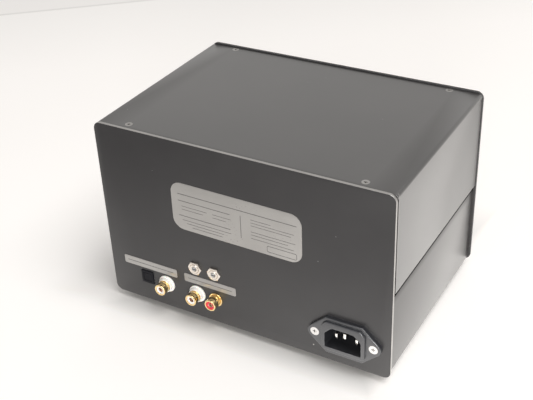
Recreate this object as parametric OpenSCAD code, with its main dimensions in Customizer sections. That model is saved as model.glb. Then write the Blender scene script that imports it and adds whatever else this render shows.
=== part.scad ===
// Loudness meter: a half-rack case, three units high, with two moving-coil dials.
// The front faces -Y and the rear faces +Y. The origin is on the ground, under the middle.

/* [Case] */
// Width of the front and rear panels
case_w = 210; // [205:0.5:220]
// Height of the front and rear panels, three rack units
case_h = 133; // [131:0.5:140]
// Depth from the front face to the rear face
case_d = 145; // [142:0.5:170]
// Corner radius of the panels
corner_r = 5; // [3:0.5:6]
// Chamfer along the edges of the panels
panel_chamfer = 0.4; // [0.2:0.05:0.6]
// Thickness of the front panel
front_t = 2; // [1.6:0.1:2.4]
// Thickness of the rear panel
rear_t = 2.2; // [1.8:0.1:2.6]
// Thickness of the sheet metal
sheet_t = 1.2; // [1:0.05:1.5]
// Outer radius of the bends in the sheet metal
bend_r = 2.2; // [1.8:0.1:3]
// Rise of the panels above and below the sheet metal
lip_z = 1.1; // [0.8:0.1:1.4]
// Rise of the panels past the sheet metal at each side
lip_x = 0.5; // [0.2:0.1:1]
// Gap between the front panel and the sheet metal
front_gap = 0.3; // [0.2:0.1:0.4]
// Gap between the rear panel and the sheet metal
rear_gap = 0.8; // [0.4:0.1:1.2]
// Height of the cover's sides
skirt_h = 69; // [60:0.5:76]
// Lap of the tray's sides behind the cover's sides
skirt_lap = 12; // [8:0.5:16]
// Clearance between the cover's sides and the tray's sides
skirt_fit = 0.1; // [0.05:0.01:0.2]

/* [Crossbars and cover screws] */
// Height of the crossbars under the cover
bar_h = 8; // [7:0.5:9]
// Depth of the front crossbar
front_bar_d = 8; // [7.5:0.5:10]
// Depth of the rear crossbar
rear_bar_d = 12; // [11:0.5:14]
// Distance of the crossbars' ends from the inside of the cover
bar_end_gap = 5; // [3:0.5:8]
// Cover screws, from the panels' sides
cover_screw_side = 22.4; // [15:0.1:29]
// From the front face to the front cover screws
front_screw_y = 5; // [5:0.05:5.6]
// From the rear face to the rear cover screws
rear_screw_y = 8.4; // [7:0.1:9]
// Radius of the cover screws' heads
cover_head_r = 2.5; // [2.2:0.05:2.6]
// Length of the cover screws' shanks under the sheet
cover_screw_len = 6; // [4:0.5:7]
// From the middle to each crossbar stud
bar_stud_x = 50; // [40:0.5:60]

/* [Fixings] */
// Radius of the M3 studs and screws
m3_r = 1.5; // [1.4:0.01:1.55]
// Radial clearance of a stud in its hole
stud_fit = 0.05; // [0.03:0.01:0.1]
// Width across the flats of the M3 nuts
m3_nut_af = 5.5; // [5.3:0.1:6]
// Thickness of the M3 nuts
m3_nut_t = 2.4; // [2:0.1:2.6]
// Length of a stud or screw past its nut
stud_over = 0.8; // [0.4:0.1:1.2]
// Radius of the pan heads
pan_r = 2.8; // [2.5:0.05:3]
// Thickness of the pan heads
pan_t = 1.9; // [1.6:0.1:2.1]
// Height of the tray's end flanges
flange_h = 10; // [9:0.5:10.5]
// Height of the flange studs above the tray's floor
flange_stud_z = 4.2; // [3.8:0.1:4.8]
// Outer flange studs, from the panels' sides
flange_stud_side = 13; // [11:0.5:14]
// Distance of the flanges' ends from the outside of the tray
flange_inset = 6; // [5:0.5:8]

/* [Feet] */
// Height of the feet
foot_h = 6; // [5:0.5:10]
// Radius of the feet at the top
foot_r = 9; // [7.5:0.5:10]
// Taper of the feet from top to bottom
foot_taper = 1; // [0.5:0.1:1.5]
// Depth of the screw recess in each foot
foot_recess = 3; // [2.6:0.1:3.4]
// Radius of the screw recess in each foot
foot_recess_r = 3.4; // [3.2:0.1:4]
// Feet, from the panels' sides
foot_side = 21; // [19:0.5:27]
// From the front face to the front feet
foot_front = 18; // [17.5:0.5:18.5]
// From the rear face to the rear feet
foot_rear = 22; // [21:0.5:24]

/* [Rear labels] */
// Thickness of the labels
label_t = 0.3; // [0.2:0.05:0.5]
// Width of the rating plate
plate_w = 94; // [80:0.5:100]
// Height of the rating plate
plate_h = 35; // [28:0.5:40]
// Corner radius of the rating plate
plate_r = 8; // [4:0.5:10]
// Place of the rating plate's centre across the panel
plate_x = 1.5; // [-4:0.1:6]
// Height of the rating plate's centre on the panel
plate_z = 86; // [80:0.5:92]
// Lean of the rating plate as it was stuck on
plate_lean = 0.5; // [0:0.1:1]
// Height of the label strips
strip_h = 6.4; // [5:0.1:7]
// Height of the strips' centre on the panel
strip_z = 30; // [29.6:0.1:31]
// Corner radius of the strips
strip_r = 1; // [0.5:0.1:1.5]
// Width of the strip over the digital inputs
digital_strip_w = 43.2; // [40:0.1:44]
// Digital strip, from the panel's side
digital_strip_side = 32.8; // [32:0.1:33.5]
// Width of the strip over the analogue inputs
analogue_strip_w = 40.1; // [36:0.1:42]
// Analogue strip, from the panel's side
analogue_strip_side = 80.5; // [79:0.1:82]

/* [Optical input] */
// Optical input, from the panel's side
optical_side = 29.4; // [28:0.1:31]
// Height of the optical input on the panel
optical_z = 19.8; // [19:0.1:20.5]
// Width of the optical input's face
optical_w = 9.8; // [9.4:0.1:10.2]
// Height of the optical input's face
optical_h = 10; // [9.6:0.1:10.4]
// How far the face stands out of the panel
optical_out = 0.9; // [0.8:0.05:1]
// Rim of the body behind the panel
optical_rim = 1.2; // [0.8:0.1:1.5]
// Width of the square port
port_w = 6.4; // [6:0.1:7]
// Depth of the port behind its shutter
port_depth = 9; // [8:0.1:9.4]
// Thickness of the shutter
shutter_t = 0.6; // [0.5:0.05:0.7]
// Clearance round the shutter
shutter_gap = 0.15; // [0.1:0.01:0.2]
// Radius of the shutter's pin
shutter_pin_r = 0.4; // [0.35:0.01:0.42]

/* [Phono jacks] */
// Height of the phono jacks on the panel
jack_z = 19.3; // [19:0.1:20]
// Digital jack, from the panel's side
digital_jack_side = 45.4; // [45:0.1:46]
// Left input jack, from the panel's side
left_jack_side = 70.1; // [69.6:0.1:70.6]
// Right input jack, from the panel's side
right_jack_side = 84.7; // [84.2:0.1:85.2]
// Length of the barrels in front of their washer or of the panel
barrel_len = 8.3; // [8:0.1:10]
// Radius of the barrels, made for a phono plug's shell
barrel_r = 4.15; // [4.1:0.01:4.2]
// Radius of the insulator in the barrel's mouth
insert_r = 3.1; // [2.9:0.05:3.3]
// Radius of the flange at the foot of the right input jack
jack_flange_r = 5.1; // [5:0.1:5.8]
// Radius of the flange at the foot of the insulated jacks
insulated_flange_r = 4.3; // [4.25:0.05:4.5]
// Thickness of the flange at the barrel's foot
jack_flange_t = 1.2; // [0.8:0.1:1.5]
// Radius of the threaded tail
jack_tail_r = 3.15; // [3:0.05:3.3]
// Radius of the white washers
washer_r = 6.2; // [6:0.05:6.4]
// Thickness of the outer white washers
washer_t = 1; // [0.8:0.1:1.4]
// Radius of the boss on the outer white washers
washer_boss_r = 5; // [4.8:0.1:5.4]
// Height of that boss above the panel
washer_boss_out = 3.6; // [3:0.1:3.8]
// Thickness of the inner white washers
inner_washer_t = 1.5; // [1:0.1:1.8]
// Radius of the washers' spigot in the panel
spigot_r = 4.7; // [4.3:0.1:5]
// Width across the flats of the jacks' nuts
jack_nut_af = 9; // [8.4:0.1:9.6]
// Thickness of the jacks' nuts
jack_nut_t = 2.4; // [2:0.1:2.6]
// Radius of the centre contacts' bore, for a plug's pin
contact_bore_r = 1.62; // [1.6:0.01:1.7]
// Wall of the centre contacts
contact_wall = 0.4; // [0.3:0.02:0.5]

/* [Level trim pots] */
// Height of the trim pots on the panel
trim_z = 40.3; // [39.6:0.1:41.2]
// Left trim pot, from the panel's side
left_trim_side = 70.2; // [69.6:0.1:70.8]
// Right trim pot, from the panel's side
right_trim_side = 84.9; // [84.2:0.1:85.4]
// Radius of the trim pots' bodies
trim_body_r = 5.8; // [5:0.1:6.4]
// Radius of the threaded bushings
bushing_r = 3.15; // [3:0.05:3.3]
// How far the bushings stand out of the panel
bushing_out = 2.1; // [1.9:0.1:4]
// Radius of the slotted spindles
spindle_r = 1.6; // [1.5:0.05:1.8]
// How far the spindles stand out of the bushings
spindle_out = 0.3; // [0.1:0.1:1.5]
// Width across the flats of the trim pots' nuts
trim_nut_af = 9; // [8.6:0.1:10]
// Thickness of the trim pots' nuts
trim_nut_t = 1.8; // [1.5:0.1:2.6]

/* [Mains inlet] */
// Mains inlet, from the panel's side
inlet_side = 30.5; // [29.5:0.1:33]
// Height of the mains inlet on the panel
inlet_z = 22.1; // [22:0.1:24]
// Distance between the inlet's two screws
inlet_pitch = 40; // [39.8:0.1:40.2]
// Width of the inlet flange's top edge
inlet_top_w = 25; // [22:0.5:27]
// Height of the inlet flange
inlet_flange_h = 27.4; // [26:0.1:30]
// Radius of the inlet flange's ends
inlet_end_r = 5; // [4:0.1:5.5]
// Thickness of the inlet flange
inlet_flange_t = 3; // [2.5:0.1:3.5]
// Width of the inlet's opening
socket_w = 24.8; // [24.4:0.1:25.2]
// Height of the inlet's opening
socket_h = 15.8; // [15.5:0.1:16.2]
// Corner cut at the top of the inlet's opening
socket_cut = 5; // [4:0.1:6]
// Wall round the inlet's opening, behind the panel
socket_wall = 2; // [1.8:0.1:2.3]
// Wall of the collar at its sides and bottom
collar_wall = 2.4; // [2:0.1:3]
// Wall of the collar at its top
collar_top = 3.7; // [2.5:0.1:4.5]
// Corner cut at the top of the collar
collar_cut = 3; // [2:0.1:4]
// How far the collar stands out of the flange
collar_out = 1.7; // [1:0.1:2.2]
// Depth of the inlet's opening
socket_depth = 16.5; // [15:0.1:17.5]
// Depth of the inlet's body behind the rear face
inlet_body_d = 17; // [16:0.1:20]
// Distance between neighbouring blades
blade_pitch = 7; // [6.8:0.1:7.2]
// Thickness of the blades
blade_w = 2; // [1.8:0.1:2.2]
// Height of the blades
blade_h = 4; // [3.8:0.1:4.2]
// Height of the earth blade above the other two
earth_rise = 4; // [3.5:0.1:4.5]
// Length of the two outer blades in the opening
blade_len = 11; // [10:0.1:11.5]
// Extra length of the earth blade
earth_extra = 2.5; // [2:0.1:3]
// Length of the solder tabs behind the inlet
tab_len = 8; // [6:0.1:10]
// Radius of the inlet screws' heads
inlet_head_r = 3; // [2.8:0.05:3.3]

/* [Dials] */
// Distance between the centres of the two dials
dial_pitch = 101; // [98:0.5:104]
// From the panel's top edge down to the dials' centre
dial_drop = 45; // [44.8:0.1:46]
// Width of the dials' bezels
bezel_w = 92; // [88:0.5:94]
// Height of the dials' bezels
bezel_h = 76; // [74:0.5:78]
// Depth of the bezels in front of the panel
bezel_d = 10.5; // [10.5:0.1:11.5]
// Corner radius of the bezels
bezel_r = 3; // [2.5:0.1:4]
// Wall of the bezels
bezel_wall = 2.2; // [2:0.1:2.3]
// Width of the window
window_w = 82; // [76:0.5:83]
// Height of the window
window_h = 50; // [46:0.5:51]
// From the bezel's top edge to the window
window_drop = 5; // [4.6:0.1:6]
// Overlap of the lens behind the window's edge
lens_lap = 1; // [0.8:0.1:1.2]
// Thickness of the lens
lens_t = 1.6; // [1.4:0.1:1.7]
// Clearance between the dial case's flange and the bezel
bezel_fit = 0.05; // [0.03:0.01:0.1]
// Thickness of the dial case's flange
case_flange_t = 2; // [1.8:0.1:2.2]
// Thickness of the dial plate
dial_t = 0.6; // [0.5:0.05:0.7]
// Height of the pointer's pivot below the dial's centre
pivot_drop = 21; // [20.5:0.1:21.5]
// Width of the dial case's box behind the panel
box_w = 56; // [50:0.5:60]
// Height of the dial case's box behind the panel
box_h = 43; // [42:0.5:46]
// Wall of the dial case's box
box_wall = 1.6; // [1.4:0.1:1.7]
// From the middle of a dial to its studs, across
case_stud_x = 38; // [36:0.5:39]
// From the middle of a dial to its studs, up and down
case_stud_z = 28; // [27:0.5:29]

/* [Movement] */
// Radius of the core magnet
core_r = 7.8; // [7.5:0.05:7.9]
// Length of the core magnet
core_len = 10; // [9:0.1:10]
// Inner radius of the yoke ring
yoke_in_r = 10.2; // [10:0.05:10.4]
// Outer radius of the yoke ring
yoke_out_r = 12.4; // [12:0.05:12.5]
// Thickness of the moving coil's bars
coil_t = 1; // [0.8:0.05:1.1]
// Width of the moving coil's bars
coil_w = 1.6; // [1.4:0.1:2]
// Radial clearance between the core magnet and the coil
coil_gap = 0.5; // [0.4:0.05:0.55]
// Radius of the coil's pivots
pivot_r = 0.4; // [0.35:0.01:0.45]
// Radial clearance of the pivots in their jewels
pivot_fit = 0.05; // [0.03:0.01:0.08]
// Length of the pointer from pivot to tip
pointer_len = 43; // [40:0.5:44]
// Thickness of the pointer
pointer_t = 0.4; // [0.3:0.02:0.5]
// Angle of the pointer at rest, left of upright
pointer_rest = 46; // [44:0.5:48]
// Length of the pointer's tail and of its two balance arms
tail_len = 8; // [6.5:0.1:8.5]
// From the zero screw's axis up to the pivot
zero_drop = 10; // [9.5:0.1:10.5]
// Distance of the zero screw's pin from its axis
zero_throw = 1.2; // [1:0.05:1.4]
// Radius of the zero screw's head
zero_head_r = 3.5; // [3:0.1:3.8]
// Clearance of the zero screw's pin in the lever's fork
zero_pin_fit = 0.15; // [0.12:0.01:0.2]

/* [Front controls] */
// Height of the controls on the panel
control_z = 24; // [22:0.5:26]
// Power switch and reset button, from the sides
control_side = 25; // [21:0.5:29]
// How far the knob stands out of the panel
knob_out = 16; // [14:0.5:18]
// Radius of the knob
knob_r = 15; // [12:0.5:17]
// Number of flutes round the knob
knob_flutes = 24; // [12:2:36]
// Radius of the selector's shaft
shaft_r = 3; // [2.8:0.05:3.2]
// Radial clearance of a shaft in its bushing
shaft_fit = 0.05; // [0.03:0.01:0.08]
// Radius of the selector's bushing
selector_bushing_r = 4.5; // [4.3:0.1:5]
// Depth of the selector switch behind the panel
selector_d = 14; // [12:0.5:16]
// Radius of the selector switch
selector_r = 12; // [10:0.5:13]
// Width of the power switch's frame
rocker_frame_w = 15; // [14.6:0.1:17]
// Height of the power switch's frame
rocker_frame_h = 21; // [20.6:0.1:23]
// Width of the rocker
rocker_w = 10; // [9.6:0.1:10.4]
// Height of the rocker
rocker_h = 14.8; // [14:0.1:15.2]
// Tilt of the rocker each way
rocker_tilt = 8; // [6:0.5:9]
// Depth of the power switch behind the panel
power_d = 16; // [14:0.5:18]
// Radius of the reset button's cap
button_r = 4.5; // [4:0.1:5]
// Travel of the reset button
button_travel = 1.8; // [1.4:0.1:2]
// Thickness of the reset button's cap
button_t = 3.5; // [3:0.1:4]

/* [Boards and transformer] */
// Thickness of the circuit boards
board_t = 1.6; // [1.4:0.1:1.8]
// Height of the stand-offs
standoff_h = 8; // [7:0.5:9]
// Main board, from the tray's side
main_side = 9; // [7:0.5:11]
// Length of the main board across the case
main_w = 108; // [104:0.5:110]
// Depth of the main board
main_d = 90; // [86:0.5:92]
// From the rear face to the main board
main_rear = 30; // [29:0.5:33]
// Distance of the stand-offs from the main board's edges
standoff_inset = 5; // [4.5:0.1:6]
// From the rear panel's inside to the input board
input_gap = 9; // [8.8:0.1:10]
// From the rear panel's side to the input board
input_side = 19; // [18:0.5:21]
// Width of the input board
input_w = 78; // [77:0.5:80]
// Height of the input board
input_h = 38; // [36:0.5:40]
// Height of the input board above the rear panel's bottom edge
input_z = 14; // [13.6:0.1:15]
// Outer radius of the transformer
toroid_r = 32; // [28:0.5:33]
// Height of the transformer
toroid_h = 26; // [22:0.5:28]
// Radius of the hole in the transformer
toroid_hole_r = 9; // [8:0.5:10]
// Transformer, from midway between the board and the tray
toroid_dx = -0.5; // [-1.5:0.5:2]
// From the front face to the transformer's centre
toroid_y = 60; // [58:0.5:62]
// Thickness of the transformer's pads
pad_t = 1.5; // [1:0.1:2]
// Radius of the transformer's bolt
bolt_r = 2.5; // [2.4:0.05:2.55]

/* [Hidden] */
$fn = 48;

// Depths: the length with knob and jacks is centred on the origin
jack_out = barrel_len + washer_t;
rear_y = (case_d + knob_out - jack_out) / 2;
front_y = rear_y - case_d;
front_in = front_y + front_t;
rear_in = rear_y - rear_t;

// Heights
panel_z0 = foot_h - lip_z;
panel_z1 = panel_z0 + case_h;
panel_zc = (panel_z0 + panel_z1) / 2;
floor_z = foot_h + sheet_t;
cover_z = panel_z1 - lip_z;
cover_in_z = cover_z - sheet_t;
skirt_z = cover_z - skirt_h;
bar_z = cover_in_z - bar_h / 2;
flange_z = floor_z + flange_stud_z;
control_height = panel_z0 + control_z;
jack_height = panel_z0 + jack_z;
trim_height = panel_z0 + trim_z;
inlet_height = panel_z0 + inlet_z;
optical_height = panel_z0 + optical_z;
dial_height = panel_z1 - dial_drop;
pivot_height = dial_height - pivot_drop;
zero_height = pivot_height - zero_drop;
board_z = floor_z + standoff_h;
board_top = board_z + board_t;

// Half widths
cover_hw = case_w / 2 - lip_x;
tray_hw = cover_hw - sheet_t - skirt_fit;
bar_hw = cover_hw - sheet_t - bar_end_gap;
flange_hw = tray_hw - flange_inset;

// Sheet metal ends
sheet_y0 = front_in + front_gap;
sheet_y1 = rear_in - rear_gap;

// Places across the case
half_w = case_w / 2;
cover_screw_x = half_w - cover_screw_side;
flange_stud_x = half_w - flange_stud_side;
foot_x = half_w - foot_side;
control_x = half_w - control_side;
inlet_x = inlet_side - half_w;
optical_x = half_w - optical_side;
digital_jack_x = half_w - digital_jack_side;
left_jack_x = half_w - left_jack_side;
right_jack_x = half_w - right_jack_side;
left_trim_x = half_w - left_trim_side;
right_trim_x = half_w - right_trim_side;
tray_in_hw = tray_hw - sheet_t;
main_x1 = tray_in_hw - main_side;
main_x0 = main_x1 - main_w;
toroid_x = (main_x0 - tray_in_hw) / 2 + toroid_dx;

// Places of repeated fixings
cover_screw_places = [
  for (sx = [-1, 1], y = [front_y + front_screw_y, rear_y - rear_screw_y]) [sx * cover_screw_x, y]
];
foot_places = [
  for (sx = [-1, 1], y = [front_y + foot_front, rear_y - foot_rear]) [sx * foot_x, y]
];
flange_studs = [-flange_stud_x, 0, flange_stud_x];
main_y1 = rear_y - main_rear;
main_y0 = main_y1 - main_d;
standoff_places = [
  for (x = [main_x0 + standoff_inset, main_x1 - standoff_inset], y = [main_y0 + standoff_inset, main_y1 - standoff_inset])
    [x, y]
];
case_stud_places = [for (sx = [-1, 1], sz = [-1, 1]) [sx * case_stud_x, sz * case_stud_z]];

// Jacks, and those that are insulated from the panel
jack_xs = [digital_jack_x, left_jack_x, right_jack_x];
insulated_xs = [digital_jack_x, left_jack_x];
jack_mouth = 0.4;
contact_set_back = 1;
contact_r = contact_bore_r + contact_wall;
contact_tail_r = 0.6;
contact_floor = 1;
barrel_floor = 1.6;
tail_bore_r = 2.1;
jack_tail_len = rear_t + inner_washer_t + jack_nut_t + 1;
input_face = rear_in - input_gap;
input_front = input_face - board_t;

// Inlet
inlet_top_x = inlet_top_w / 2;
inlet_screw_x = inlet_pitch / 2;
collar_y = rear_y + inlet_flange_t + collar_out;
socket_floor_y = collar_y - socket_depth;
inlet_back_y = rear_y - inlet_body_d;
cut_grow = 2 - sqrt(2);
collar_foot_cut = 1.6;
blade_bevel = 0.4;
tab_hw = 0.4;
tab_y = inlet_back_y - tab_len;
panel_hole_fit = 0.2;

// Dial stack, measured forwards from the front panel's face
window_z = bezel_h / 2 - window_drop - window_h / 2;
lens_w = window_w + 2 * lens_lap;
lens_h = window_h + 2 * lens_lap;
bezel_inner = bezel_d - bezel_wall;
flange_w = bezel_w - 2 * bezel_wall - 2 * bezel_fit;
flange_hh = bezel_h - 2 * bezel_wall - 2 * bezel_fit;
dial_front = case_flange_t + dial_t;
pointer_back = dial_front + 1.4;
bridge_back = pointer_back + pointer_t + 0.8;
bridge_t = 0.8;
bridge_front = bridge_back + bridge_t;
boss_len = 1.2;
lever_gap = 0.3;
lever_t = 0.6;
staff_r = 0.9;
lever_back = bridge_front + lever_gap;
pin_tip = bridge_front + 0.15;
screw_flange_t = 0.6;
screw_flange_gap = 0.2;
box_z = dial_height - flange_hh / 2 + box_h / 2;
box_depth = 19.6;
box_floor = box_depth - 2;
frame_t = 1.6;
frame_front = box_floor - frame_t;
core_front = frame_front - 2 - core_len;
coil_in_r = core_r + coil_gap;
coil_out_r = coil_in_r + coil_t;
coil_front = core_front - 0.6;
coil_back = core_front + core_len + 0.6;
pillar_x0 = yoke_out_r + 1.4;
pillar_x1 = pillar_x0 + 3;
bridge_hh = 2.2;
frame_hh = yoke_out_r + 0.2;
notch_hw = pillar_x1 + 1.5;
notch_top = 3;
terminal_x = 10;
terminal_dz = 12;
terminal_len = 12;
frame_peg_x = 13;
frame_peg_z = 9;

// Optical input
port_h = port_w;
shutter_pin_z = port_h / 2 - shutter_pin_r - 0.25;
shutter_y = -0.2;

// Power switch
rocker_pivot_y = front_y + 1;
rocker_hole_w = rocker_w + 0.4;
rocker_hole_h = rocker_h + 2;
power_wall = 1.1;
rocker_frame_t = 1.8;

// Knob and selector
knob_gap = 0.8;
knob_recess = 6.4;
selector_bushing_out = 5.5;
selector_nut_af = 12;
selector_nut_t = 2;

// Reset switch
reset_bushing_r = 4;
reset_bushing_out = 3;
reset_stem_r = 2;
reset_nut_af = 11;
reset_nut_t = 2;
reset_size = 10;
reset_d = 12;

// Ribbon cable and its headers on the two boards
ribbon_w = 24;
ribbon_t = 0.9;
ribbon_x = main_x0 + main_w / 2 - ribbon_w / 2;
header_d = 6;
header_h = 8;
header_wall = 2;
input_header_z = jack_height + 4;
main_header_y = main_y1 - 9;

// Fuse
fuse_r = 2.5;
fuse_len = 20;
fuse_lift = 3.5;
fuse_x = main_x0 + 9;
fuse_y = main_y0 + main_d * 0.8;

// Leads, and the headers that they land on
lead_r = 0.6;
mains_lead_r = 0.9;
lead_n = 8;
lead_gap = 0.2;
lead_bend = 3;
lead_side = [0.55, -0.25, 0.8];
lead_header_y = main_y0 + 8;
lead_header_xs = [main_x0 + 18, main_x0 + 30];
switch_back_y = front_in + power_d;
wall_x = 3 - tray_hw;

// Transformer
toroid_bottom = floor_z + pad_t;
toroid_top = toroid_bottom + toroid_h;
dish_r = 20;
dish_t = 1.5;

// Shapes used by many pieces
module slab(y, t) {
  translate([0, y + t, 0])
    rotate([90, 0, 0])
      linear_extrude(t)
        children();
}

module across(x, len) {
  translate([x, 0, 0])
    rotate([90, 0, 90])
      linear_extrude(len)
        children();
}

module rod(x, y, z, r, len) {
  translate([x, y, z])
    rotate([-90, 0, 0])
      cylinder(r = r, h = len);
}

module hex(x, y, z, af, t, turn = 0) {
  translate([x, y, z])
    rotate([-90, 0, 0])
      rotate([0, 0, turn])
        cylinder(r = af / 2 / cos(30), h = t, $fn = 6);
}

module nut(x, y, z, af, t, bore_r) {
  difference() {
    hex(x, y, z, af, t, 30);
    rod(x, y - 1, z, bore_r, t + 2);
  }
}

module rounded(w, h, r) {
  square([w - 2 * r, h], center = true);
  square([w, h - 2 * r], center = true);
  for (sx = [-1, 1], sy = [-1, 1])
    translate([sx * (w / 2 - r), sy * (h / 2 - r)])
      circle(r);
}

module at(x, z) {
  translate([x, 0, z])
    children();
}

// A panel with rounded corners and chamfered edges, y = 0 to t
module edged_plate(w, h, t, r, c) {
  along = [[c, -h / 2], [t - c, -h / 2], [t, c - h / 2], [t, h / 2 - c],
           [t - c, h / 2], [c, h / 2], [0, h / 2 - c], [0, c - h / 2]];
  upright = [[-w / 2, c], [c - w / 2, 0], [w / 2 - c, 0], [w / 2, c],
             [w / 2, t - c], [w / 2 - c, t], [c - w / 2, t], [-w / 2, t - c]];
  across(r - w / 2, w - 2 * r)
    polygon(along);
  translate([0, 0, r - h / 2])
    linear_extrude(h - 2 * r)
      polygon(upright);
  for (sx = [-1, 1], sz = [-1, 1])
    translate([sx * (w / 2 - r), 0, sz * (h / 2 - r)])
      rotate([-90, 0, 0])
        rotate_extrude()
          polygon([[0, 0], [r - c, 0], [r, c], [r, t - c], [r - c, t], [0, t]]);
}

// Outline of a bent sheet from its open end to its web, filled in
module bent_outline(hw, open_z, web_z, r) {
  dir = sign(web_z - open_z);
  bend_z = web_z - dir * r;
  translate([-hw, min(open_z, bend_z)])
    square([2 * hw, abs(bend_z - open_z)]);
  translate([r - hw, min(bend_z, web_z)])
    square([2 * (hw - r), r]);
  for (sx = [-1, 1])
    translate([sx * (hw - r), bend_z])
      circle(r);
}

// A U-shaped sheet, seen along Y
module channel_outline(hw, open_z, web_z) {
  dir = sign(web_z - open_z);
  difference() {
    bent_outline(hw, open_z, web_z, bend_r);
    bent_outline(hw - sheet_t, open_z - dir, web_z - dir * sheet_t, bend_r - sheet_t);
  }
}

// Cross recess cut into a screw head whose top is at z = 0
module cross_recess(size, depth) {
  for (turn = [0, 90])
    rotate([0, 0, turn])
      translate([-size / 2, -size / 8, -depth])
        cube([size, size / 4, depth + 1]);
}

// Countersunk screw with its head's top at z = 0 and its shank downwards
module countersunk(head_r, shank_r, len) {
  head_t = head_r - shank_r;
  difference() {
    union() {
      translate([0, 0, -head_t])
        cylinder(r1 = shank_r, r2 = head_r, h = head_t);
      translate([0, 0, -len])
        cylinder(r = shank_r, h = len - head_t / 2);
    }
    cross_recess(head_r * 1.1, head_t * 0.8);
  }
}

// A lead is a tube with eight sides, swept through points with its corners eased
function unit(v) = v / norm(v);
function eased(p, r) = [
  p[0],
  for (i = [1 : len(p) - 2])
    let (a = p[i] + r * unit(p[i - 1] - p[i]), b = p[i] + r * unit(p[i + 1] - p[i]))
      for (t = [0 : 0.25 : 1]) (1 - t) * (1 - t) * a + 2 * t * (1 - t) * p[i] + t * t * b,
  p[len(p) - 1]
];
function heading(p, i) = unit(p[min(i + 1, len(p) - 1)] - p[max(i - 1, 0)]);
function ring(c, dir, r) =
  let (u = unit(cross(dir, lead_side)), v = cross(dir, u))
    [for (k = [0 : lead_n - 1]) c + r * (u * cos(360 * k / lead_n) + v * sin(360 * k / lead_n))];

module lead(points, r) {
  path = eased(points, lead_bend);
  last = len(path) - 1;
  rings = [for (i = [0 : last]) each ring(path[i], heading(path, i), r)];
  walls = [
    for (i = [0 : last - 1], k = [0 : lead_n - 1])
      let (a = i * lead_n + k, b = i * lead_n + (k + 1) % lead_n)
        each [[a, a + lead_n, b + lead_n], [a, b + lead_n, b]]
  ];
  ends = [[for (k = [0 : lead_n - 1]) k], [for (k = [lead_n - 1 : -1 : 0]) last * lead_n + k]];
  polyhedron(rings, concat(walls, ends));
}

// Case
module front_panel() {
  color([0.29, 0.29, 0.29])
    difference() {
      union() {
        translate([0, front_y, panel_zc])
          edged_plate(case_w, case_h, front_t, corner_r, panel_chamfer);
        for (x = flange_studs)
          rod(x, front_in - 0.5, flange_z, m3_r, 0.5 + sheet_t + m3_nut_t + stud_over);
        for (sx = [-1, 1])
          rod(sx * bar_stud_x, front_in - 0.5, bar_z, m3_r, 0.5 + front_bar_d + m3_nut_t + stud_over);
      }
      for (sx = [-1, 1]) {
        translate([sx * dial_pitch / 2, 0, box_z])
          slab(front_y - 1, front_t + 2)
            square([box_w + 2 * panel_hole_fit, box_h + 2 * panel_hole_fit], center = true);
        for (p = case_stud_places)
          rod(sx * dial_pitch / 2 + p[0], front_y - 1, dial_height + p[1], m3_r + stud_fit, front_t + 2);
      }
      rod(0, front_y - 1, control_height, selector_bushing_r + stud_fit, front_t + 2);
      rod(control_x, front_y - 1, control_height, reset_bushing_r + stud_fit, front_t + 2);
      at(-control_x, control_height)
        slab(front_y - 1, front_t + 2)
          square([rocker_hole_w + 2 * power_wall + panel_hole_fit, rocker_hole_h + 2 * power_wall + panel_hole_fit],
                 center = true);
    }
}

module rear_panel() {
  color([0.29, 0.29, 0.29])
    difference() {
      union() {
        translate([0, rear_in, panel_zc])
          edged_plate(case_w, case_h, rear_t, corner_r, panel_chamfer);
        for (x = flange_studs)
          rod(x, rear_in - sheet_t - m3_nut_t - stud_over, flange_z, m3_r, sheet_t + m3_nut_t + stud_over + 0.5);
        for (sx = [-1, 1])
          rod(sx * bar_stud_x, rear_in - rear_bar_d - m3_nut_t - stud_over, bar_z, m3_r,
              rear_bar_d + m3_nut_t + stud_over + 0.5);
      }
      at(inlet_x, inlet_height)
        slab(rear_in - 1, rear_t + 2)
          socket_outline(socket_wall + panel_hole_fit);
      for (sx = [-1, 1])
        rod(inlet_x + sx * inlet_screw_x, rear_in - 1, inlet_height, m3_r + stud_fit, rear_t + 2);
      at(optical_x, optical_height)
        slab(rear_in - 1, rear_t + 2)
          square([optical_w + panel_hole_fit, optical_h + panel_hole_fit], center = true);
      for (x = insulated_xs)
        rod(x, rear_in - 1, jack_height, spigot_r, rear_t + 2);
      rod(right_jack_x, rear_in - 1, jack_height, jack_tail_r + stud_fit, rear_t + 2);
      for (x = [left_trim_x, right_trim_x])
        rod(x, rear_in - 1, trim_height, bushing_r + stud_fit, rear_t + 2);
    }
}

module top_cover() {
  color([0.33, 0.33, 0.33])
    difference() {
      slab(sheet_y0, sheet_y1 - sheet_y0)
        channel_outline(cover_hw, skirt_z, cover_z);
      for (p = cover_screw_places)
        translate([p[0], p[1], cover_z]) {
          translate([0, 0, m3_r - cover_head_r])
            cylinder(r1 = m3_r, r2 = cover_head_r, h = cover_head_r - m3_r);
          translate([0, 0, -sheet_t - 1])
            cylinder(r = m3_r, h = sheet_t + 1.5);
        }
    }
}

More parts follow.
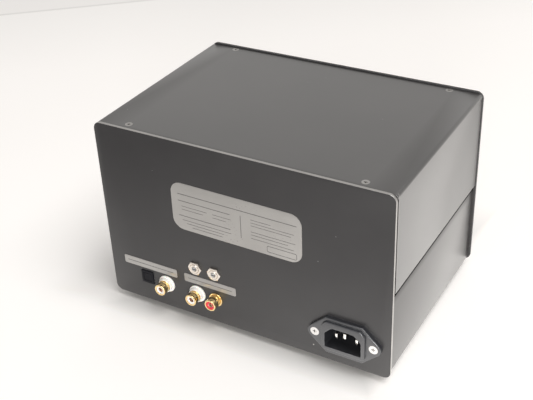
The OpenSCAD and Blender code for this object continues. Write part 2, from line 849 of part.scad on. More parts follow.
module bottom_tray() {
  color([0.33, 0.33, 0.33])
    difference() {
      union() {
        slab(sheet_y0, sheet_y1 - sheet_y0)
          channel_outline(tray_hw, skirt_z + skirt_lap, foot_h);
        translate([-flange_hw, front_in, foot_h])
          cube([2 * flange_hw, rear_in - front_in, sheet_t]);
        for (y = [front_in, rear_in - sheet_t])
          translate([-flange_hw, y, foot_h])
            cube([2 * flange_hw, sheet_t, flange_h]);
      }
      for (x = flange_studs, y = [front_in - 1, rear_in - sheet_t - 1])
        rod(x, y, flange_z, m3_r + stud_fit, sheet_t + 2);
      for (p = foot_places)
        translate([p[0], p[1], foot_h - 1])
          cylinder(r = m3_r + stud_fit, h = sheet_t + 2);
      for (p = standoff_places)
        translate([p[0], p[1], foot_h - 1])
          cylinder(r = m3_r + stud_fit, h = sheet_t + 2);
      translate([toroid_x, front_y + toroid_y, foot_h - 1])
        cylinder(r = bolt_r + stud_fit, h = sheet_t + 2);
    }
}

module crossbar(y, d, stud_dir) {
  difference() {
    translate([-bar_hw, y, cover_in_z - bar_h])
      cube([2 * bar_hw, d, bar_h]);
    for (sx = [-1, 1])
      rod(sx * bar_stud_x, y - 1, bar_z, m3_r + stud_fit, d + 2);
    for (p = cover_screw_places)
      translate([p[0], p[1], cover_in_z - bar_h - 1])
        cylinder(r = m3_r, h = bar_h + 2);
  }
}

module crossbars() {
  color([0.75, 0.75, 0.77]) {
    crossbar(front_in, front_bar_d);
    crossbar(rear_in - rear_bar_d, rear_bar_d);
  }
}

module cover_screws() {
  color([0.12, 0.12, 0.12])
    for (p = cover_screw_places)
      translate([p[0], p[1], cover_z])
        countersunk(cover_head_r, m3_r - stud_fit, sheet_t + cover_screw_len);
}

// Pan head screw with its head's underside at z = 0 and its shank upwards
module pan_screw(len) {
  translate([0, 0, -pan_t])
    difference() {
      cylinder(r = pan_r, h = pan_t);
      mirror([0, 0, 1])
        cross_recess(pan_r * 1.1, pan_t * 0.6);
    }
  cylinder(r = m3_r, h = len);
}

module case_screws() {
  color([0.7, 0.7, 0.72]) {
    for (p = foot_places)
      translate([p[0], p[1], foot_recess])
        pan_screw(floor_z - foot_recess + m3_nut_t + stud_over);
    for (p = standoff_places) {
      translate([p[0], p[1], foot_h])
        pan_screw(sheet_t + standoff_h / 2 - 0.5);
      translate([p[0], p[1], board_top])
        mirror([0, 0, 1])
          pan_screw(board_t + standoff_h / 2 - 0.5);
    }
  }
}

module feet() {
  color([0.1, 0.1, 0.1])
    for (p = foot_places)
      translate([p[0], p[1], 0])
        difference() {
          cylinder(r1 = foot_r - foot_taper, r2 = foot_r, h = foot_h);
          translate([0, 0, -1])
            cylinder(r = foot_recess_r, h = foot_recess + 1);
          cylinder(r = m3_r + stud_fit, h = foot_h + 1);
        }
}

module fixing_nuts() {
  bore_r = m3_r + 0.02;
  color([0.78, 0.76, 0.72]) {
    for (x = flange_studs) {
      nut(x, front_in + sheet_t, flange_z, m3_nut_af, m3_nut_t, bore_r);
      nut(x, rear_in - sheet_t - m3_nut_t, flange_z, m3_nut_af, m3_nut_t, bore_r);
    }
    for (sx = [-1, 1]) {
      nut(sx * bar_stud_x, front_in + front_bar_d, bar_z, m3_nut_af, m3_nut_t, bore_r);
      nut(sx * bar_stud_x, rear_in - rear_bar_d - m3_nut_t, bar_z, m3_nut_af, m3_nut_t, bore_r);
      nut(inlet_x + sx * inlet_screw_x, rear_in - m3_nut_t, inlet_height, m3_nut_af, m3_nut_t, bore_r);
      for (p = case_stud_places)
        nut(sx * dial_pitch / 2 + p[0], front_in, dial_height + p[1], m3_nut_af, m3_nut_t, bore_r);
    }
    for (p = foot_places)
      translate([p[0], p[1], floor_z])
        difference() {
          cylinder(r = m3_nut_af / 2 / cos(30), h = m3_nut_t, $fn = 6);
          translate([0, 0, -1])
            cylinder(r = bore_r, h = m3_nut_t + 2);
        }
    for (x = insulated_xs)
      nut(x, rear_in - inner_washer_t - jack_nut_t, jack_height, jack_nut_af, jack_nut_t, jack_tail_r + 0.02);
    nut(right_jack_x, rear_in - jack_nut_t, jack_height, jack_nut_af, jack_nut_t, jack_tail_r + 0.02);
    for (x = [left_trim_x, right_trim_x])
      nut(x, rear_y, trim_height, trim_nut_af, trim_nut_t, bushing_r + 0.02);
    nut(0, front_y - selector_nut_t, control_height, selector_nut_af, selector_nut_t, selector_bushing_r + 0.02);
    nut(control_x, front_y - reset_nut_t, control_height, reset_nut_af, reset_nut_t, reset_bushing_r + 0.02);
  }
}

// Rear labels
module rating_plate() {
  color([0.74, 0.73, 0.71])
    translate([plate_x, 0, panel_z0 + plate_z])
      rotate([0, -plate_lean, 0])
        slab(rear_y, label_t)
          rounded(plate_w, plate_h, plate_r);
}

module label_strip(x, w) {
  at(x, panel_z0 + strip_z)
    slab(rear_y, label_t)
      rounded(w, strip_h, strip_r);
}

module label_strips() {
  color([0.74, 0.73, 0.71]) {
    label_strip(half_w - digital_strip_side, digital_strip_w);
    label_strip(half_w - analogue_strip_side, analogue_strip_w);
  }
}

// Optical input
module optical_input() {
  face_y = rear_y + optical_out;
  back_y = input_face;
  color([0.07, 0.07, 0.07])
    translate([optical_x, 0, optical_height])
      difference() {
        union() {
          slab(back_y, face_y - back_y)
            square([optical_w, optical_h], center = true);
          slab(back_y, rear_in - back_y)
            square([optical_w + 2 * optical_rim, optical_h + 2 * optical_rim], center = true);
        }
        slab(face_y - port_depth, port_depth + 1)
          square([port_w, port_h], center = true);
        translate([-port_w / 2 - 1, face_y + shutter_y - shutter_t / 2, shutter_pin_z])
          rotate([0, 90, 0])
            cylinder(r = shutter_pin_r + stud_fit, h = port_w + 2);
      }
}

module optical_shutter() {
  hinge_y = rear_y + optical_out + shutter_y - shutter_t / 2;
  flap_bottom = -port_h / 2 + shutter_gap;
  color([0.1, 0.1, 0.1])
    translate([optical_x, hinge_y, optical_height]) {
      translate([shutter_gap - port_w / 2, -shutter_t / 2, flap_bottom])
        cube([port_w - 2 * shutter_gap, shutter_t, shutter_pin_z - flap_bottom]);
      translate([-port_w / 2 - 0.8, 0, shutter_pin_z])
        rotate([0, 90, 0])
          cylinder(r = shutter_pin_r, h = port_w + 1.6);
    }
}

// Phono jacks, drawn round the Y axis from the panel's outer face
module jack_barrel(base, flange_r) {
  groove = 0.3;
  color([0.85, 0.66, 0.32])
    translate([0, base, 0])
      rotate([-90, 0, 0])
        rotate_extrude()
          polygon([
            [tail_bore_r, -base - jack_tail_len], [jack_tail_r, -base - jack_tail_len], [jack_tail_r, 0],
            [flange_r, 0], [flange_r, jack_flange_t - 0.3], [flange_r - 0.3, jack_flange_t],
            [barrel_r - groove, jack_flange_t], [barrel_r - groove, jack_flange_t + 0.6],
            [barrel_r, jack_flange_t + 0.6], [barrel_r, jack_flange_t + 1.6],
            [barrel_r - groove, jack_flange_t + 1.6], [barrel_r - groove, jack_flange_t + 2.2],
            [barrel_r, jack_flange_t + 2.2], [barrel_r, barrel_len - 0.3], [barrel_r - 0.3, barrel_len],
            [insert_r, barrel_len], [insert_r, barrel_floor], [tail_bore_r, barrel_floor]
          ]);
}

module digital_jack() {
  translate([digital_jack_x, rear_y, jack_height])
    jack_barrel(washer_t, insulated_flange_r);
}

module left_input_jack() {
  translate([left_jack_x, rear_y, jack_height])
    jack_barrel(washer_t, insulated_flange_r);
}

module right_input_jack() {
  translate([right_jack_x, rear_y, jack_height])
    jack_barrel(0, jack_flange_r);
}

module jack_insert(base) {
  front = base + barrel_len - jack_mouth;
  contact_front = base + barrel_len - contact_set_back;
  contact_foot = base + barrel_floor + 0.6;
  rotate([-90, 0, 0])
    rotate_extrude()
      polygon([
        [contact_tail_r, -jack_tail_len - 0.4], [tail_bore_r, -jack_tail_len - 0.4],
        [tail_bore_r, base + barrel_floor], [insert_r, base + barrel_floor],
        [insert_r, front], [contact_bore_r + 0.1, front], [contact_bore_r + 0.1, contact_front],
        [contact_r, contact_front], [contact_r, contact_foot], [contact_tail_r, contact_foot]
      ]);
}

module white_jack_insulators() {
  boss_in_r = insulated_flange_r + 0.05;
  color([0.93, 0.92, 0.9])
    for (x = insulated_xs)
      translate([x, rear_y, jack_height]) {
        jack_insert(washer_t);
        rotate([-90, 0, 0])
          rotate_extrude()
            polygon([
              [jack_tail_r, 0.05 - rear_t], [spigot_r - stud_fit, 0.05 - rear_t], [spigot_r - stud_fit, 0],
              [washer_r, 0], [washer_r, washer_t - 0.3], [washer_r - 0.3, washer_t], [washer_boss_r, washer_t],
              [washer_boss_r, washer_boss_out - 0.3], [washer_boss_r - 0.3, washer_boss_out],
              [boss_in_r, washer_boss_out], [boss_in_r, washer_t], [jack_tail_r, washer_t]
            ]);
        difference() {
          rod(0, -rear_t - inner_washer_t, 0, washer_r, inner_washer_t);
          rod(0, -rear_t - inner_washer_t - 1, 0, jack_tail_r + stud_fit, inner_washer_t + 2);
        }
      }
}

module red_jack_insulator() {
  color([0.75, 0.1, 0.09])
    translate([right_jack_x, rear_y, jack_height])
      jack_insert(0);
}

module jack_contact(base) {
  contact_front = base + barrel_len - contact_set_back;
  contact_foot = base + barrel_floor + 0.6;
  tail_end = input_front - rear_y - 1.2;
  rotate([-90, 0, 0])
    rotate_extrude()
      polygon([
        [0, tail_end], [contact_tail_r, tail_end], [contact_tail_r, contact_foot],
        [contact_r, contact_foot], [contact_r, contact_front], [contact_bore_r, contact_front],
        [contact_bore_r, contact_foot + contact_floor], [0, contact_foot + contact_floor]
      ]);
}

module jack_contacts() {
  color([0.85, 0.66, 0.32]) {
    for (x = insulated_xs)
      translate([x, rear_y, jack_height])
        jack_contact(washer_t);
    translate([right_jack_x, rear_y, jack_height])
      jack_contact(0);
  }
}

// Level trim pots
module trim_pot(x) {
  color([0.16, 0.2, 0.3])
    difference() {
      union() {
        rod(x, input_face, trim_height, trim_body_r, input_gap);
        rod(x, input_face, trim_height, bushing_r, input_gap + rear_t + bushing_out);
      }
      rod(x, input_face + 1, trim_height, spindle_r + shaft_fit, input_gap + rear_t + bushing_out);
    }
}

module trim_spindle(x) {
  slot_w = spindle_r * 0.45;
  spindle_end = rear_y + bushing_out + spindle_out;
  color([0.8, 0.78, 0.7])
    difference() {
      rod(x, input_face + 1.1, trim_height, spindle_r, spindle_end - input_face - 1.1);
      translate([x - spindle_r - 1, spindle_end - 1, trim_height - slot_w / 2])
        cube([2 * spindle_r + 2, 2, slot_w]);
    }
}

module left_trim_pot() {
  trim_pot(left_trim_x);
}

module right_trim_pot() {
  trim_pot(right_trim_x);
}

module left_trim_spindle() {
  trim_spindle(left_trim_x);
}

module right_trim_spindle() {
  trim_spindle(right_trim_x);
}

// Mains inlet
module socket_outline(grow) {
  w = socket_w / 2 + grow;
  h = socket_h / 2 + grow;
  c = socket_cut + cut_grow * grow;
  polygon([[-w, -h], [w, -h], [w, h - c], [w - c, h], [c - w, h], [-w, h - c]]);
}

module collar_outline() {
  w = socket_w / 2 + collar_wall;
  top = socket_h / 2 + collar_top;
  low = -socket_h / 2 - collar_wall;
  polygon([[collar_foot_cut - w, low], [w - collar_foot_cut, low], [w, low + collar_foot_cut], [w, top - collar_cut],
           [w - collar_cut, top], [collar_cut - w, top], [-w, top - collar_cut], [-w, low + collar_foot_cut]]);
}

// Flange outline: a middle block with tangents to a round end at each screw
module inlet_flange_outline() {
  top_z = inlet_flange_h / 2;
  dx = inlet_top_x - inlet_screw_x;
  reach = norm([dx, top_z]);
  turn = atan2(top_z, dx) - acos(inlet_end_r / reach);
  tangent_x = inlet_screw_x + inlet_end_r * cos(turn);
  tangent_z = inlet_end_r * sin(turn);
  polygon([
    [inlet_top_x, top_z], [tangent_x, tangent_z], [tangent_x, -tangent_z], [inlet_top_x, -top_z],
    [-inlet_top_x, -top_z], [-tangent_x, -tangent_z], [-tangent_x, tangent_z], [-inlet_top_x, top_z]
  ]);
  for (sx = [-1, 1])
    translate([sx * inlet_screw_x, 0])
      circle(inlet_end_r);
}

// One blade with its bevelled tip and its solder tab
module blade(dx, dz, tip_y) {
  hw = blade_w / 2;
  tip_hw = hw - blade_bevel;
  translate([dx, 0, dz - blade_h / 2])
    linear_extrude(blade_h)
      polygon([
        [-tab_hw, tab_y], [tab_hw, tab_y], [tab_hw, inlet_back_y], [hw, inlet_back_y], [hw, tip_y - 1.2],
        [tip_hw, tip_y], [-tip_hw, tip_y], [-hw, tip_y - 1.2], [-hw, inlet_back_y], [-tab_hw, inlet_back_y]
      ]);
}

module inlet_blade_set() {
  low_z = -earth_rise / 2;
  for (sx = [-1, 1])
    blade(sx * blade_pitch, low_z, socket_floor_y + blade_len);
  blade(0, low_z + earth_rise, socket_floor_y + blade_len + earth_extra);
}

module mains_inlet() {
  color([0.35, 0.35, 0.35])
    translate([inlet_x, 0, inlet_height])
      difference() {
        union() {
          slab(rear_y, inlet_flange_t)
            inlet_flange_outline();
          slab(inlet_back_y, rear_y + 1 - inlet_back_y)
            socket_outline(socket_wall);
          slab(rear_y + 1, collar_y - rear_y - 1)
            collar_outline();
        }
        slab(socket_floor_y, socket_depth + 1)
          socket_outline(0);
        inlet_blade_set();
        for (sx = [-1, 1])
          translate([sx * inlet_screw_x, 0, 0]) {
            rod(0, rear_y - 1, 0, m3_r + stud_fit, inlet_flange_t + 2);
            translate([0, rear_y + inlet_flange_t - (inlet_head_r - m3_r), 0])
              rotate([-90, 0, 0])
                cylinder(r1 = m3_r, r2 = inlet_head_r, h = inlet_head_r - m3_r);
          }
      }
}

module inlet_blades() {
  color([0.8, 0.78, 0.72])
    translate([inlet_x, 0, inlet_height])
      inlet_blade_set();
}

module inlet_screws() {
  color([0.82, 0.82, 0.84])
    for (sx = [-1, 1])
      translate([inlet_x + sx * inlet_screw_x, rear_y + inlet_flange_t, inlet_height])
        rotate([-90, 0, 0])
          countersunk(inlet_head_r, m3_r, inlet_flange_t + rear_t + m3_nut_t + stud_over);
}

// Front controls
module selector_switch() {
  color([0.6, 0.58, 0.5])
    difference() {
      union() {
        rod(0, front_in, control_height, selector_r, selector_d);
        rod(0, front_y - selector_bushing_out, control_height, selector_bushing_r, selector_bushing_out + front_t + 1);
      }
      rod(0, front_y - selector_bushing_out - 1, control_height, shaft_r + shaft_fit,
          selector_bushing_out + front_t + selector_d);
    }
}

module selector_shaft() {
  shaft_y0 = front_y - knob_out + 2;
  color([0.8, 0.8, 0.82])
    rod(0, shaft_y0, control_height, shaft_r, front_in + selector_d - 2 - shaft_y0);
}

module selector_knob() {
  knob_len = knob_out - knob_gap;
  flute_r = 1;
  color([0.1, 0.1, 0.1])
    translate([0, front_y - knob_gap, control_height])
      rotate([90, 0, 0])
        difference() {
          rotate_extrude()
            polygon([[0, 0], [knob_r, 0], [knob_r, 2], [knob_r - 1, 3], [knob_r - 1.5, knob_len - 1],
                     [knob_r - 2.5, knob_len], [0, knob_len]]);
          translate([0, 0, -1])
            cylinder(r = selector_nut_af / 2 / cos(30) + 0.8, h = knob_recess + 1);
          cylinder(r = shaft_r, h = knob_len - 2);
          for (i = [0 : knob_flutes - 1])
            rotate([0, 0, (i + 0.5) * 360 / knob_flutes])
              translate([knob_r - 0.8, 0, 3.4])
                cylinder(r = flute_r, h = knob_len, $fn = 16);
          translate([-0.6, knob_r * 0.35, knob_len - 0.5])
            cube([1.2, knob_r, 1]);
        }
}

module power_switch() {
  hole_y1 = front_in + power_d / 2;
  color([0.08, 0.08, 0.08])
    translate([-control_x, 0, control_height])
      difference() {
        union() {
          slab(front_y - rocker_frame_t, rocker_frame_t)
            rounded(rocker_frame_w, rocker_frame_h, 1);
          slab(front_y - 0.5, 0.5 + front_t + power_d)
            square([rocker_hole_w + 2 * power_wall, rocker_hole_h + 2 * power_wall], center = true);
        }
        slab(front_y - rocker_frame_t - 1, hole_y1 - front_y + rocker_frame_t + 1)
          square([rocker_hole_w, rocker_hole_h], center = true);
        translate([-rocker_hole_w / 2 - power_wall - 1, rocker_pivot_y, 0])
          rotate([0, 90, 0])
            cylinder(r = 1 + shaft_fit, h = rocker_hole_w + 2 * power_wall + 2);
      }
}

// The rocker's side view is drawn level, as [depth behind the pivot, height]
module power_rocker() {
  hh = rocker_h / 2;
  color([0.12, 0.12, 0.12])
    translate([-control_x, rocker_pivot_y, control_height])
      rotate([-rocker_tilt, 0, 0]) {
        across(-rocker_w / 2, rocker_w)
          polygon([[5, 0], [1.5, hh], [-4.2, hh], [-3, 0], [-4.2, -hh], [1.5, -hh]]);
        translate([-rocker_hole_w / 2 - power_wall + 0.1, 0, 0])
          rotate([0, 90, 0])
            cylinder(r = 1, h = rocker_hole_w + 2 * power_wall - 0.2);
      }
}

module reset_switch() {
  color([0.7, 0.7, 0.72])
    difference() {
      union() {
        translate([control_x - reset_size / 2, front_in, control_height - reset_size / 2])
          cube([reset_size, reset_d, reset_size]);
        rod(control_x, front_y - reset_bushing_out, control_height, reset_bushing_r, reset_bushing_out + front_t + 1);
      }
      rod(control_x, front_y - reset_bushing_out - 1, control_height, reset_stem_r + shaft_fit,
          reset_bushing_out + front_t + reset_d);
    }
}

module reset_button() {
  cap_back = front_y - reset_bushing_out - button_travel - 0.4;
  color([0.65, 0.08, 0.07]) {
    translate([control_x, cap_back, control_height])
      rotate([90, 0, 0])
        rotate_extrude()
          polygon([[0, 0], [button_r, 0], [button_r, button_t - 0.6], [button_r - 0.6, button_t], [0, button_t]]);
    rod(control_x, cap_back - 0.5, control_height, reset_stem_r, front_in + reset_d / 2 - cap_back + 0.5);
  }
}

// Boards
module main_board() {
  color([0.1, 0.3, 0.16])
    difference() {
      translate([main_x0, main_y0, board_z])
        cube([main_w, main_d, board_t]);
      for (p = standoff_places)
        translate([p[0], p[1], board_z - 1])
          cylinder(r = m3_r + stud_fit, h = board_t + 2);
    }
}

module stand_offs() {
  color([0.75, 0.65, 0.4])
    for (p = standoff_places)
      translate([p[0], p[1], floor_z])
        difference() {
          cylinder(r = m3_nut_af / 2 / cos(30), h = standoff_h, $fn = 6);
          translate([0, 0, -1])
            cylinder(r = m3_r + 0.02, h = standoff_h + 2);
        }
}

module input_board() {
  color([0.1, 0.3, 0.16])
    difference() {
      translate([half_w - input_side - input_w, input_front, panel_z0 + input_z])
        cube([input_w, board_t, input_h]);
      for (x = jack_xs)
        rod(x, input_front - 1, jack_height, contact_tail_r + stud_fit, board_t + 2);
    }
}

module board_parts() {
  chip_y = main_y0 + main_d * 0.45;
  color([0.12, 0.12, 0.13]) {
    translate([main_x0 + main_w * 0.5, chip_y, board_top])
      cube([20, 20, 2]);
    for (i = [0 : 2])
      translate([main_x0 + main_w * 0.16 + i * 11, chip_y, board_top])
        cube([8, 18, 3.5]);
    for (i = [0 : 3])
      translate([main_x0 + main_w * 0.62 + i * 10, main_y0 + 12, board_top])
        cylinder(r = 4, h = 12);
    translate([ribbon_x - header_wall, main_header_y - header_d / 2, board_top])
      cube([ribbon_w + 2 * header_wall, header_d, header_h]);
    translate([ribbon_x - header_wall, input_front - header_d, input_header_z - header_d / 2])
      cube([ribbon_w + 2 * header_wall, header_d, header_d]);
    for (x = lead_header_xs)
      translate([x - 4, lead_header_y - 3, board_top])
        cube([8, 6, header_h]);
    for (dy = [-1, 1])
      difference() {
        translate([fuse_x - 3, fuse_y + dy * fuse_len / 2 - (dy > 0 ? 4 : 0), board_top])
          cube([6, 4, fuse_lift + fuse_r / 2]);
        rod(fuse_x, fuse_y - fuse_len, board_top + fuse_lift, fuse_r, 2 * fuse_len);
      }
  }
}

module mains_fuse() {
  color([0.85, 0.85, 0.8])
    rod(fuse_x, fuse_y - fuse_len / 2, board_top + fuse_lift, fuse_r, fuse_len);
}

module ribbon_cable() {
  bend = input_header_z - board_top - header_h;
  start_y = input_front - header_d;
  color([0.6, 0.6, 0.62])
    across(ribbon_x, ribbon_w) {
      translate([main_header_y + bend, input_header_z - ribbon_t / 2])
        square([start_y - main_header_y - bend, ribbon_t]);
      intersection() {
        translate([main_header_y + bend, input_header_z - bend])
          difference() {
            circle(bend + ribbon_t / 2);
            circle(bend - ribbon_t / 2);
          }
        translate([main_header_y - ribbon_t, input_header_z - bend])
          square([bend + ribbon_t, bend + ribbon_t]);
      }
    }
}

module internal_leads() {
  low_z = inlet_height - earth_rise / 2;
  start_y = tab_y - lead_gap;
  end_y = switch_back_y + lead_gap;
  winding_x = toroid_x + toroid_r - 4.6;
  color([0.2, 0.25, 0.5]) {
    lead([
      [inlet_x - blade_pitch, start_y, low_z], [inlet_x - blade_pitch, start_y - 7, low_z],
      [wall_x, start_y - 16, toroid_top + 3], [wall_x, end_y + 16, toroid_top + 3],
      [-control_x - 3, end_y + 8, control_height + 3], [-control_x - 3, end_y, control_height + 3]
    ], mains_lead_r);
    lead([
      [inlet_x + blade_pitch, start_y, low_z], [inlet_x + blade_pitch, start_y - 6, low_z],
      [wall_x, start_y - 14, toroid_top + 7], [wall_x, end_y + 16, toroid_top + 7],
      [-control_x + 3, end_y + 8, control_height + 4], [-control_x + 3, end_y, control_height + 4]
    ], mains_lead_r);
    lead([
      [winding_x, front_y + toroid_y, toroid_top + lead_gap], [winding_x, front_y + toroid_y, toroid_top + 8],
      [lead_header_xs[0], lead_header_y, toroid_top + 8],
      [lead_header_xs[0], lead_header_y, board_top + header_h + lead_gap]
    ], lead_r);
    for (side = [-1, 1], tx = [-1, 1]) {
      top_x = side * dial_pitch / 2 + tx * terminal_x;
      top_y = front_y + box_depth + terminal_len + lead_gap;
      end_x = lead_header_xs[1] + side * 2 + tx;
      lead([
        [top_x, top_y, box_z + terminal_dz], [top_x, top_y + 8, box_z + terminal_dz],
        [end_x, lead_header_y, board_top + header_h + 20], [end_x, lead_header_y, board_top + header_h + lead_gap]
      ], lead_r);
    }
  }
}

// Transformer
module transformer() {
  ring_w = toroid_r - toroid_hole_r;
  color([0.75, 0.6, 0.25])
    translate([toroid_x, front_y + toroid_y, toroid_bottom])
      rotate_extrude()
        translate([toroid_hole_r + ring_w / 2, toroid_h / 2])
          rounded(ring_w, toroid_h, 6);
}

module transformer_fixing() {
  top = toroid_top + pad_t + dish_t;
  color([0.7, 0.7, 0.72])
    translate([toroid_x, front_y + toroid_y, 0]) {
      for (z = [floor_z, toroid_top])
        translate([0, 0, z])
          difference() {
            cylinder(r = toroid_r - 6, h = pad_t);
            translate([0, 0, -1])
              cylinder(r = bolt_r + stud_fit, h = pad_t + 2);
          }
      translate([0, 0, toroid_top + pad_t])
        difference() {
          cylinder(r = dish_r, h = dish_t);
          translate([0, 0, -1])
            cylinder(r = bolt_r + stud_fit, h = dish_t + 2);
        }
      translate([0, 0, foot_h - 2])
        cylinder(r = bolt_r * 1.7, h = 2);
      translate([0, 0, foot_h - 0.5])
        cylinder(r = bolt_r, h = top - foot_h + 6.5);
      translate([0, 0, top])
        difference() {
          cylinder(r = bolt_r * 1.85, h = 4, $fn = 6);
          translate([0, 0, -1])
            cylinder(r = bolt_r + 0.02, h = 6);
        }
    }
}

// Dials. Each piece is drawn for a dial at x = 0 and moved to its side.
module on_side(side) {
  translate([side * dial_pitch / 2, 0, 0])
    children();
}

module meter_case(side) {
  box_y1 = front_y + box_depth;
  color([0.1, 0.1, 0.1])
    on_side(side) {
      difference() {
        union() {
          at(0, dial_height)
            slab(front_y - case_flange_t, case_flange_t)
              square([flange_w, flange_hh], center = true);
          at(0, box_z)
            slab(front_y - 0.5, box_depth + 0.5)
              square([box_w, box_h], center = true);
          for (p = case_stud_places)
            rod(p[0], front_y - 0.5, dial_height + p[1], m3_r, 0.5 + front_t + m3_nut_t + stud_over);
        }
        at(0, box_z)
          slab(front_y - case_flange_t - 1, case_flange_t + 1 + box_floor)
            square([box_w - 2 * box_wall, box_h - 2 * box_wall], center = true);
        for (sx = [-1, 1])
          rod(sx * frame_peg_x, front_y + box_floor - 1, pivot_height + frame_peg_z, 1 + stud_fit, 4);
      }
      for (p = case_stud_places)
        rod(p[0], front_y - dial_front - 0.4, dial_height + p[1], 1, dial_t + 0.4);
      for (sx = [-1, 1])
        rod(sx * terminal_x, box_y1, box_z + terminal_dz, m3_r, terminal_len);
    }
}

module meter_bezel(side) {
  color([0.09, 0.09, 0.1])
    on_side(side)
      difference() {
        at(0, dial_height)
          slab(front_y - bezel_d, bezel_d)
            rounded(bezel_w, bezel_h, bezel_r);
        at(0, dial_height)
          slab(front_y - bezel_inner, bezel_inner + 1)
            square([bezel_w - 2 * bezel_wall, bezel_h - 2 * bezel_wall], center = true);
        at(0, dial_height + window_z)
          slab(front_y - bezel_d - 1, bezel_wall + 2)
            square([window_w, window_h], center = true);
        rod(0, front_y - bezel_d - 1, zero_height, zero_head_r + stud_fit, bezel_wall + 2);
      }
}

module meter_lens(side) {
  color([0.8, 0.85, 0.88, 0.35])
    on_side(side)
      at(0, dial_height + window_z)
        slab(front_y - bezel_inner, lens_t)
          square([lens_w, lens_h], center = true);
}

module dial_plate(side) {
  plate_hw = flange_w / 2 - 1.5;
  plate_hh = flange_hh / 2 - 1.5;
  color([0.95, 0.92, 0.82])
    on_side(side)
      difference() {
        translate([-plate_hw, front_y - dial_front, dial_height - plate_hh])
          cube([2 * plate_hw, dial_t, 2 * plate_hh]);
        translate([-notch_hw, front_y - dial_front - 1, dial_height - plate_hh - 1])
          cube([2 * notch_hw, dial_t + 2, pivot_height + notch_top - dial_height + plate_hh + 1]);
        for (p = case_stud_places)
          rod(p[0], front_y - dial_front - 1, dial_height + p[1], 1, dial_t + 2);
      }
}

// Core magnet
module meter_magnets() {
  color([0.3, 0.3, 0.32])
    for (side = [-1, 1])
      on_side(side)
        difference() {
          rod(0, front_y + core_front, pivot_height, core_r, core_len);
          rod(0, front_y + core_front - 1, pivot_height, pivot_r + 0.4, core_len + 2);
        }
}

// Frame with the front bridge, and the soft iron ring round the magnet
module movement_frame() {
  pillar_len = bridge_front + frame_front + frame_t;
  color([0.6, 0.6, 0.6])
    difference() {
      union() {
        translate([-pillar_x1, frame_front, -frame_hh])
          cube([2 * pillar_x1, frame_t, 2 * frame_hh]);
        for (sx = [-1, 1])
          translate([sx > 0 ? pillar_x0 : -pillar_x1, -bridge_front, -bridge_hh])
            cube([pillar_x1 - pillar_x0, pillar_len, 2 * bridge_hh]);
        translate([-pillar_x1, -bridge_front, -bridge_hh])
          cube([2 * pillar_x1, bridge_t, 2 * bridge_hh]);
        rod(0, -bridge_front - boss_len, 0, m3_r, boss_len + bridge_t / 2);
        for (sx = [-1, 1])
          rod(sx * frame_peg_x, frame_front, frame_peg_z, 1, frame_t + 2.4);
        intersection() {
          slab(core_front + 1, frame_front - core_front - 0.5)
            difference() {
              circle(yoke_in_r);
              circle(core_r);
            }
          translate([-2.5, 0, -yoke_in_r])
            cube([5, box_depth, 2 * yoke_in_r]);
        }
      }
      rod(0, -bridge_front + 0.2, 0, pivot_r + pivot_fit, bridge_t);
      rod(0, frame_front - 1, 0, pivot_r + pivot_fit, frame_t);
    }
}

module movement_frames() {
  for (side = [-1, 1])
    on_side(side)
      translate([0, front_y, pivot_height]) {
        movement_frame();
        color([0.45, 0.42, 0.4])
          slab(core_front, frame_front - core_front)
            difference() {
              circle(yoke_out_r);
              circle(yoke_in_r);
            }
      }
}

// Flat spiral from the collet outwards, as a band of even width
function spiral(r0, r1, turns, steps) = [
  for (i = [0 : steps]) let (a = 360 * turns * i / steps, r = r0 + (r1 - r0) * i / steps) [r * cos(a), r * sin(a)]
];

module hairspring() {
  turns = 2.5;
  steps = 40;
  band = 0.25;
  start_r = staff_r - 0.1;
  outer = spiral(start_r + band, 5, turns, steps);
  inner = spiral(start_r, 5 - band, turns, steps);
  polygon(concat(outer, [for (i = [steps : -1 : 0]) inner[i]]));
}

// Coil, staff, pivots and hairspring, drawn with the pointer upright
module moving_coil(side) {
  staff_front = bridge_back - 0.15;
  color([0.72, 0.4, 0.2])
    on_side(side)
      translate([0, front_y, pivot_height])
        rotate([0, -pointer_rest, 0]) {
          difference() {
            translate([-coil_out_r, coil_front - coil_t, -coil_w / 2])
              cube([2 * coil_out_r, coil_back - coil_front + 2 * coil_t, coil_w]);
            translate([-coil_in_r, coil_front, -coil_w])
              cube([2 * coil_in_r, coil_back - coil_front, 2 * coil_w]);
          }
          rod(0, -staff_front, 0, staff_r, staff_front + coil_front - coil_t / 2);
          rod(0, -bridge_front + 0.4, 0, pivot_r, bridge_front - staff_front);
          rod(0, coil_back + coil_t / 2, 0, pivot_r, frame_front - coil_back - coil_t / 2 + 0.5);
          slab(-bridge_back + 0.2, 0.3)
            hairspring();
        }
}

module pointer(side) {
  root_hw = 0.8;
  tip_hw = 0.25;
  hub_r = 2.2;
  color([0.7, 0.1, 0.05])
    on_side(side)
      translate([0, front_y, pivot_height])
        rotate([0, -pointer_rest, 0])
          difference() {
            union() {
              slab(-pointer_back - pointer_t, pointer_t)
                polygon([
                  [-root_hw, -tail_len], [-root_hw, -root_hw], [-tail_len, -root_hw], [-tail_len, root_hw],
                  [-root_hw, root_hw], [-tip_hw, pointer_len - 1], [0, pointer_len], [tip_hw, pointer_len - 1],
                  [root_hw, root_hw], [tail_len, root_hw], [tail_len, -root_hw], [root_hw, -root_hw], [root_hw, -tail_len]
                ]);
              rod(0, -pointer_back - pointer_t - 0.1, 0, hub_r, pointer_t + 0.2);
            }
            rod(0, -pointer_back - pointer_t - 1, 0, staff_r, pointer_t + 2);
          }
}

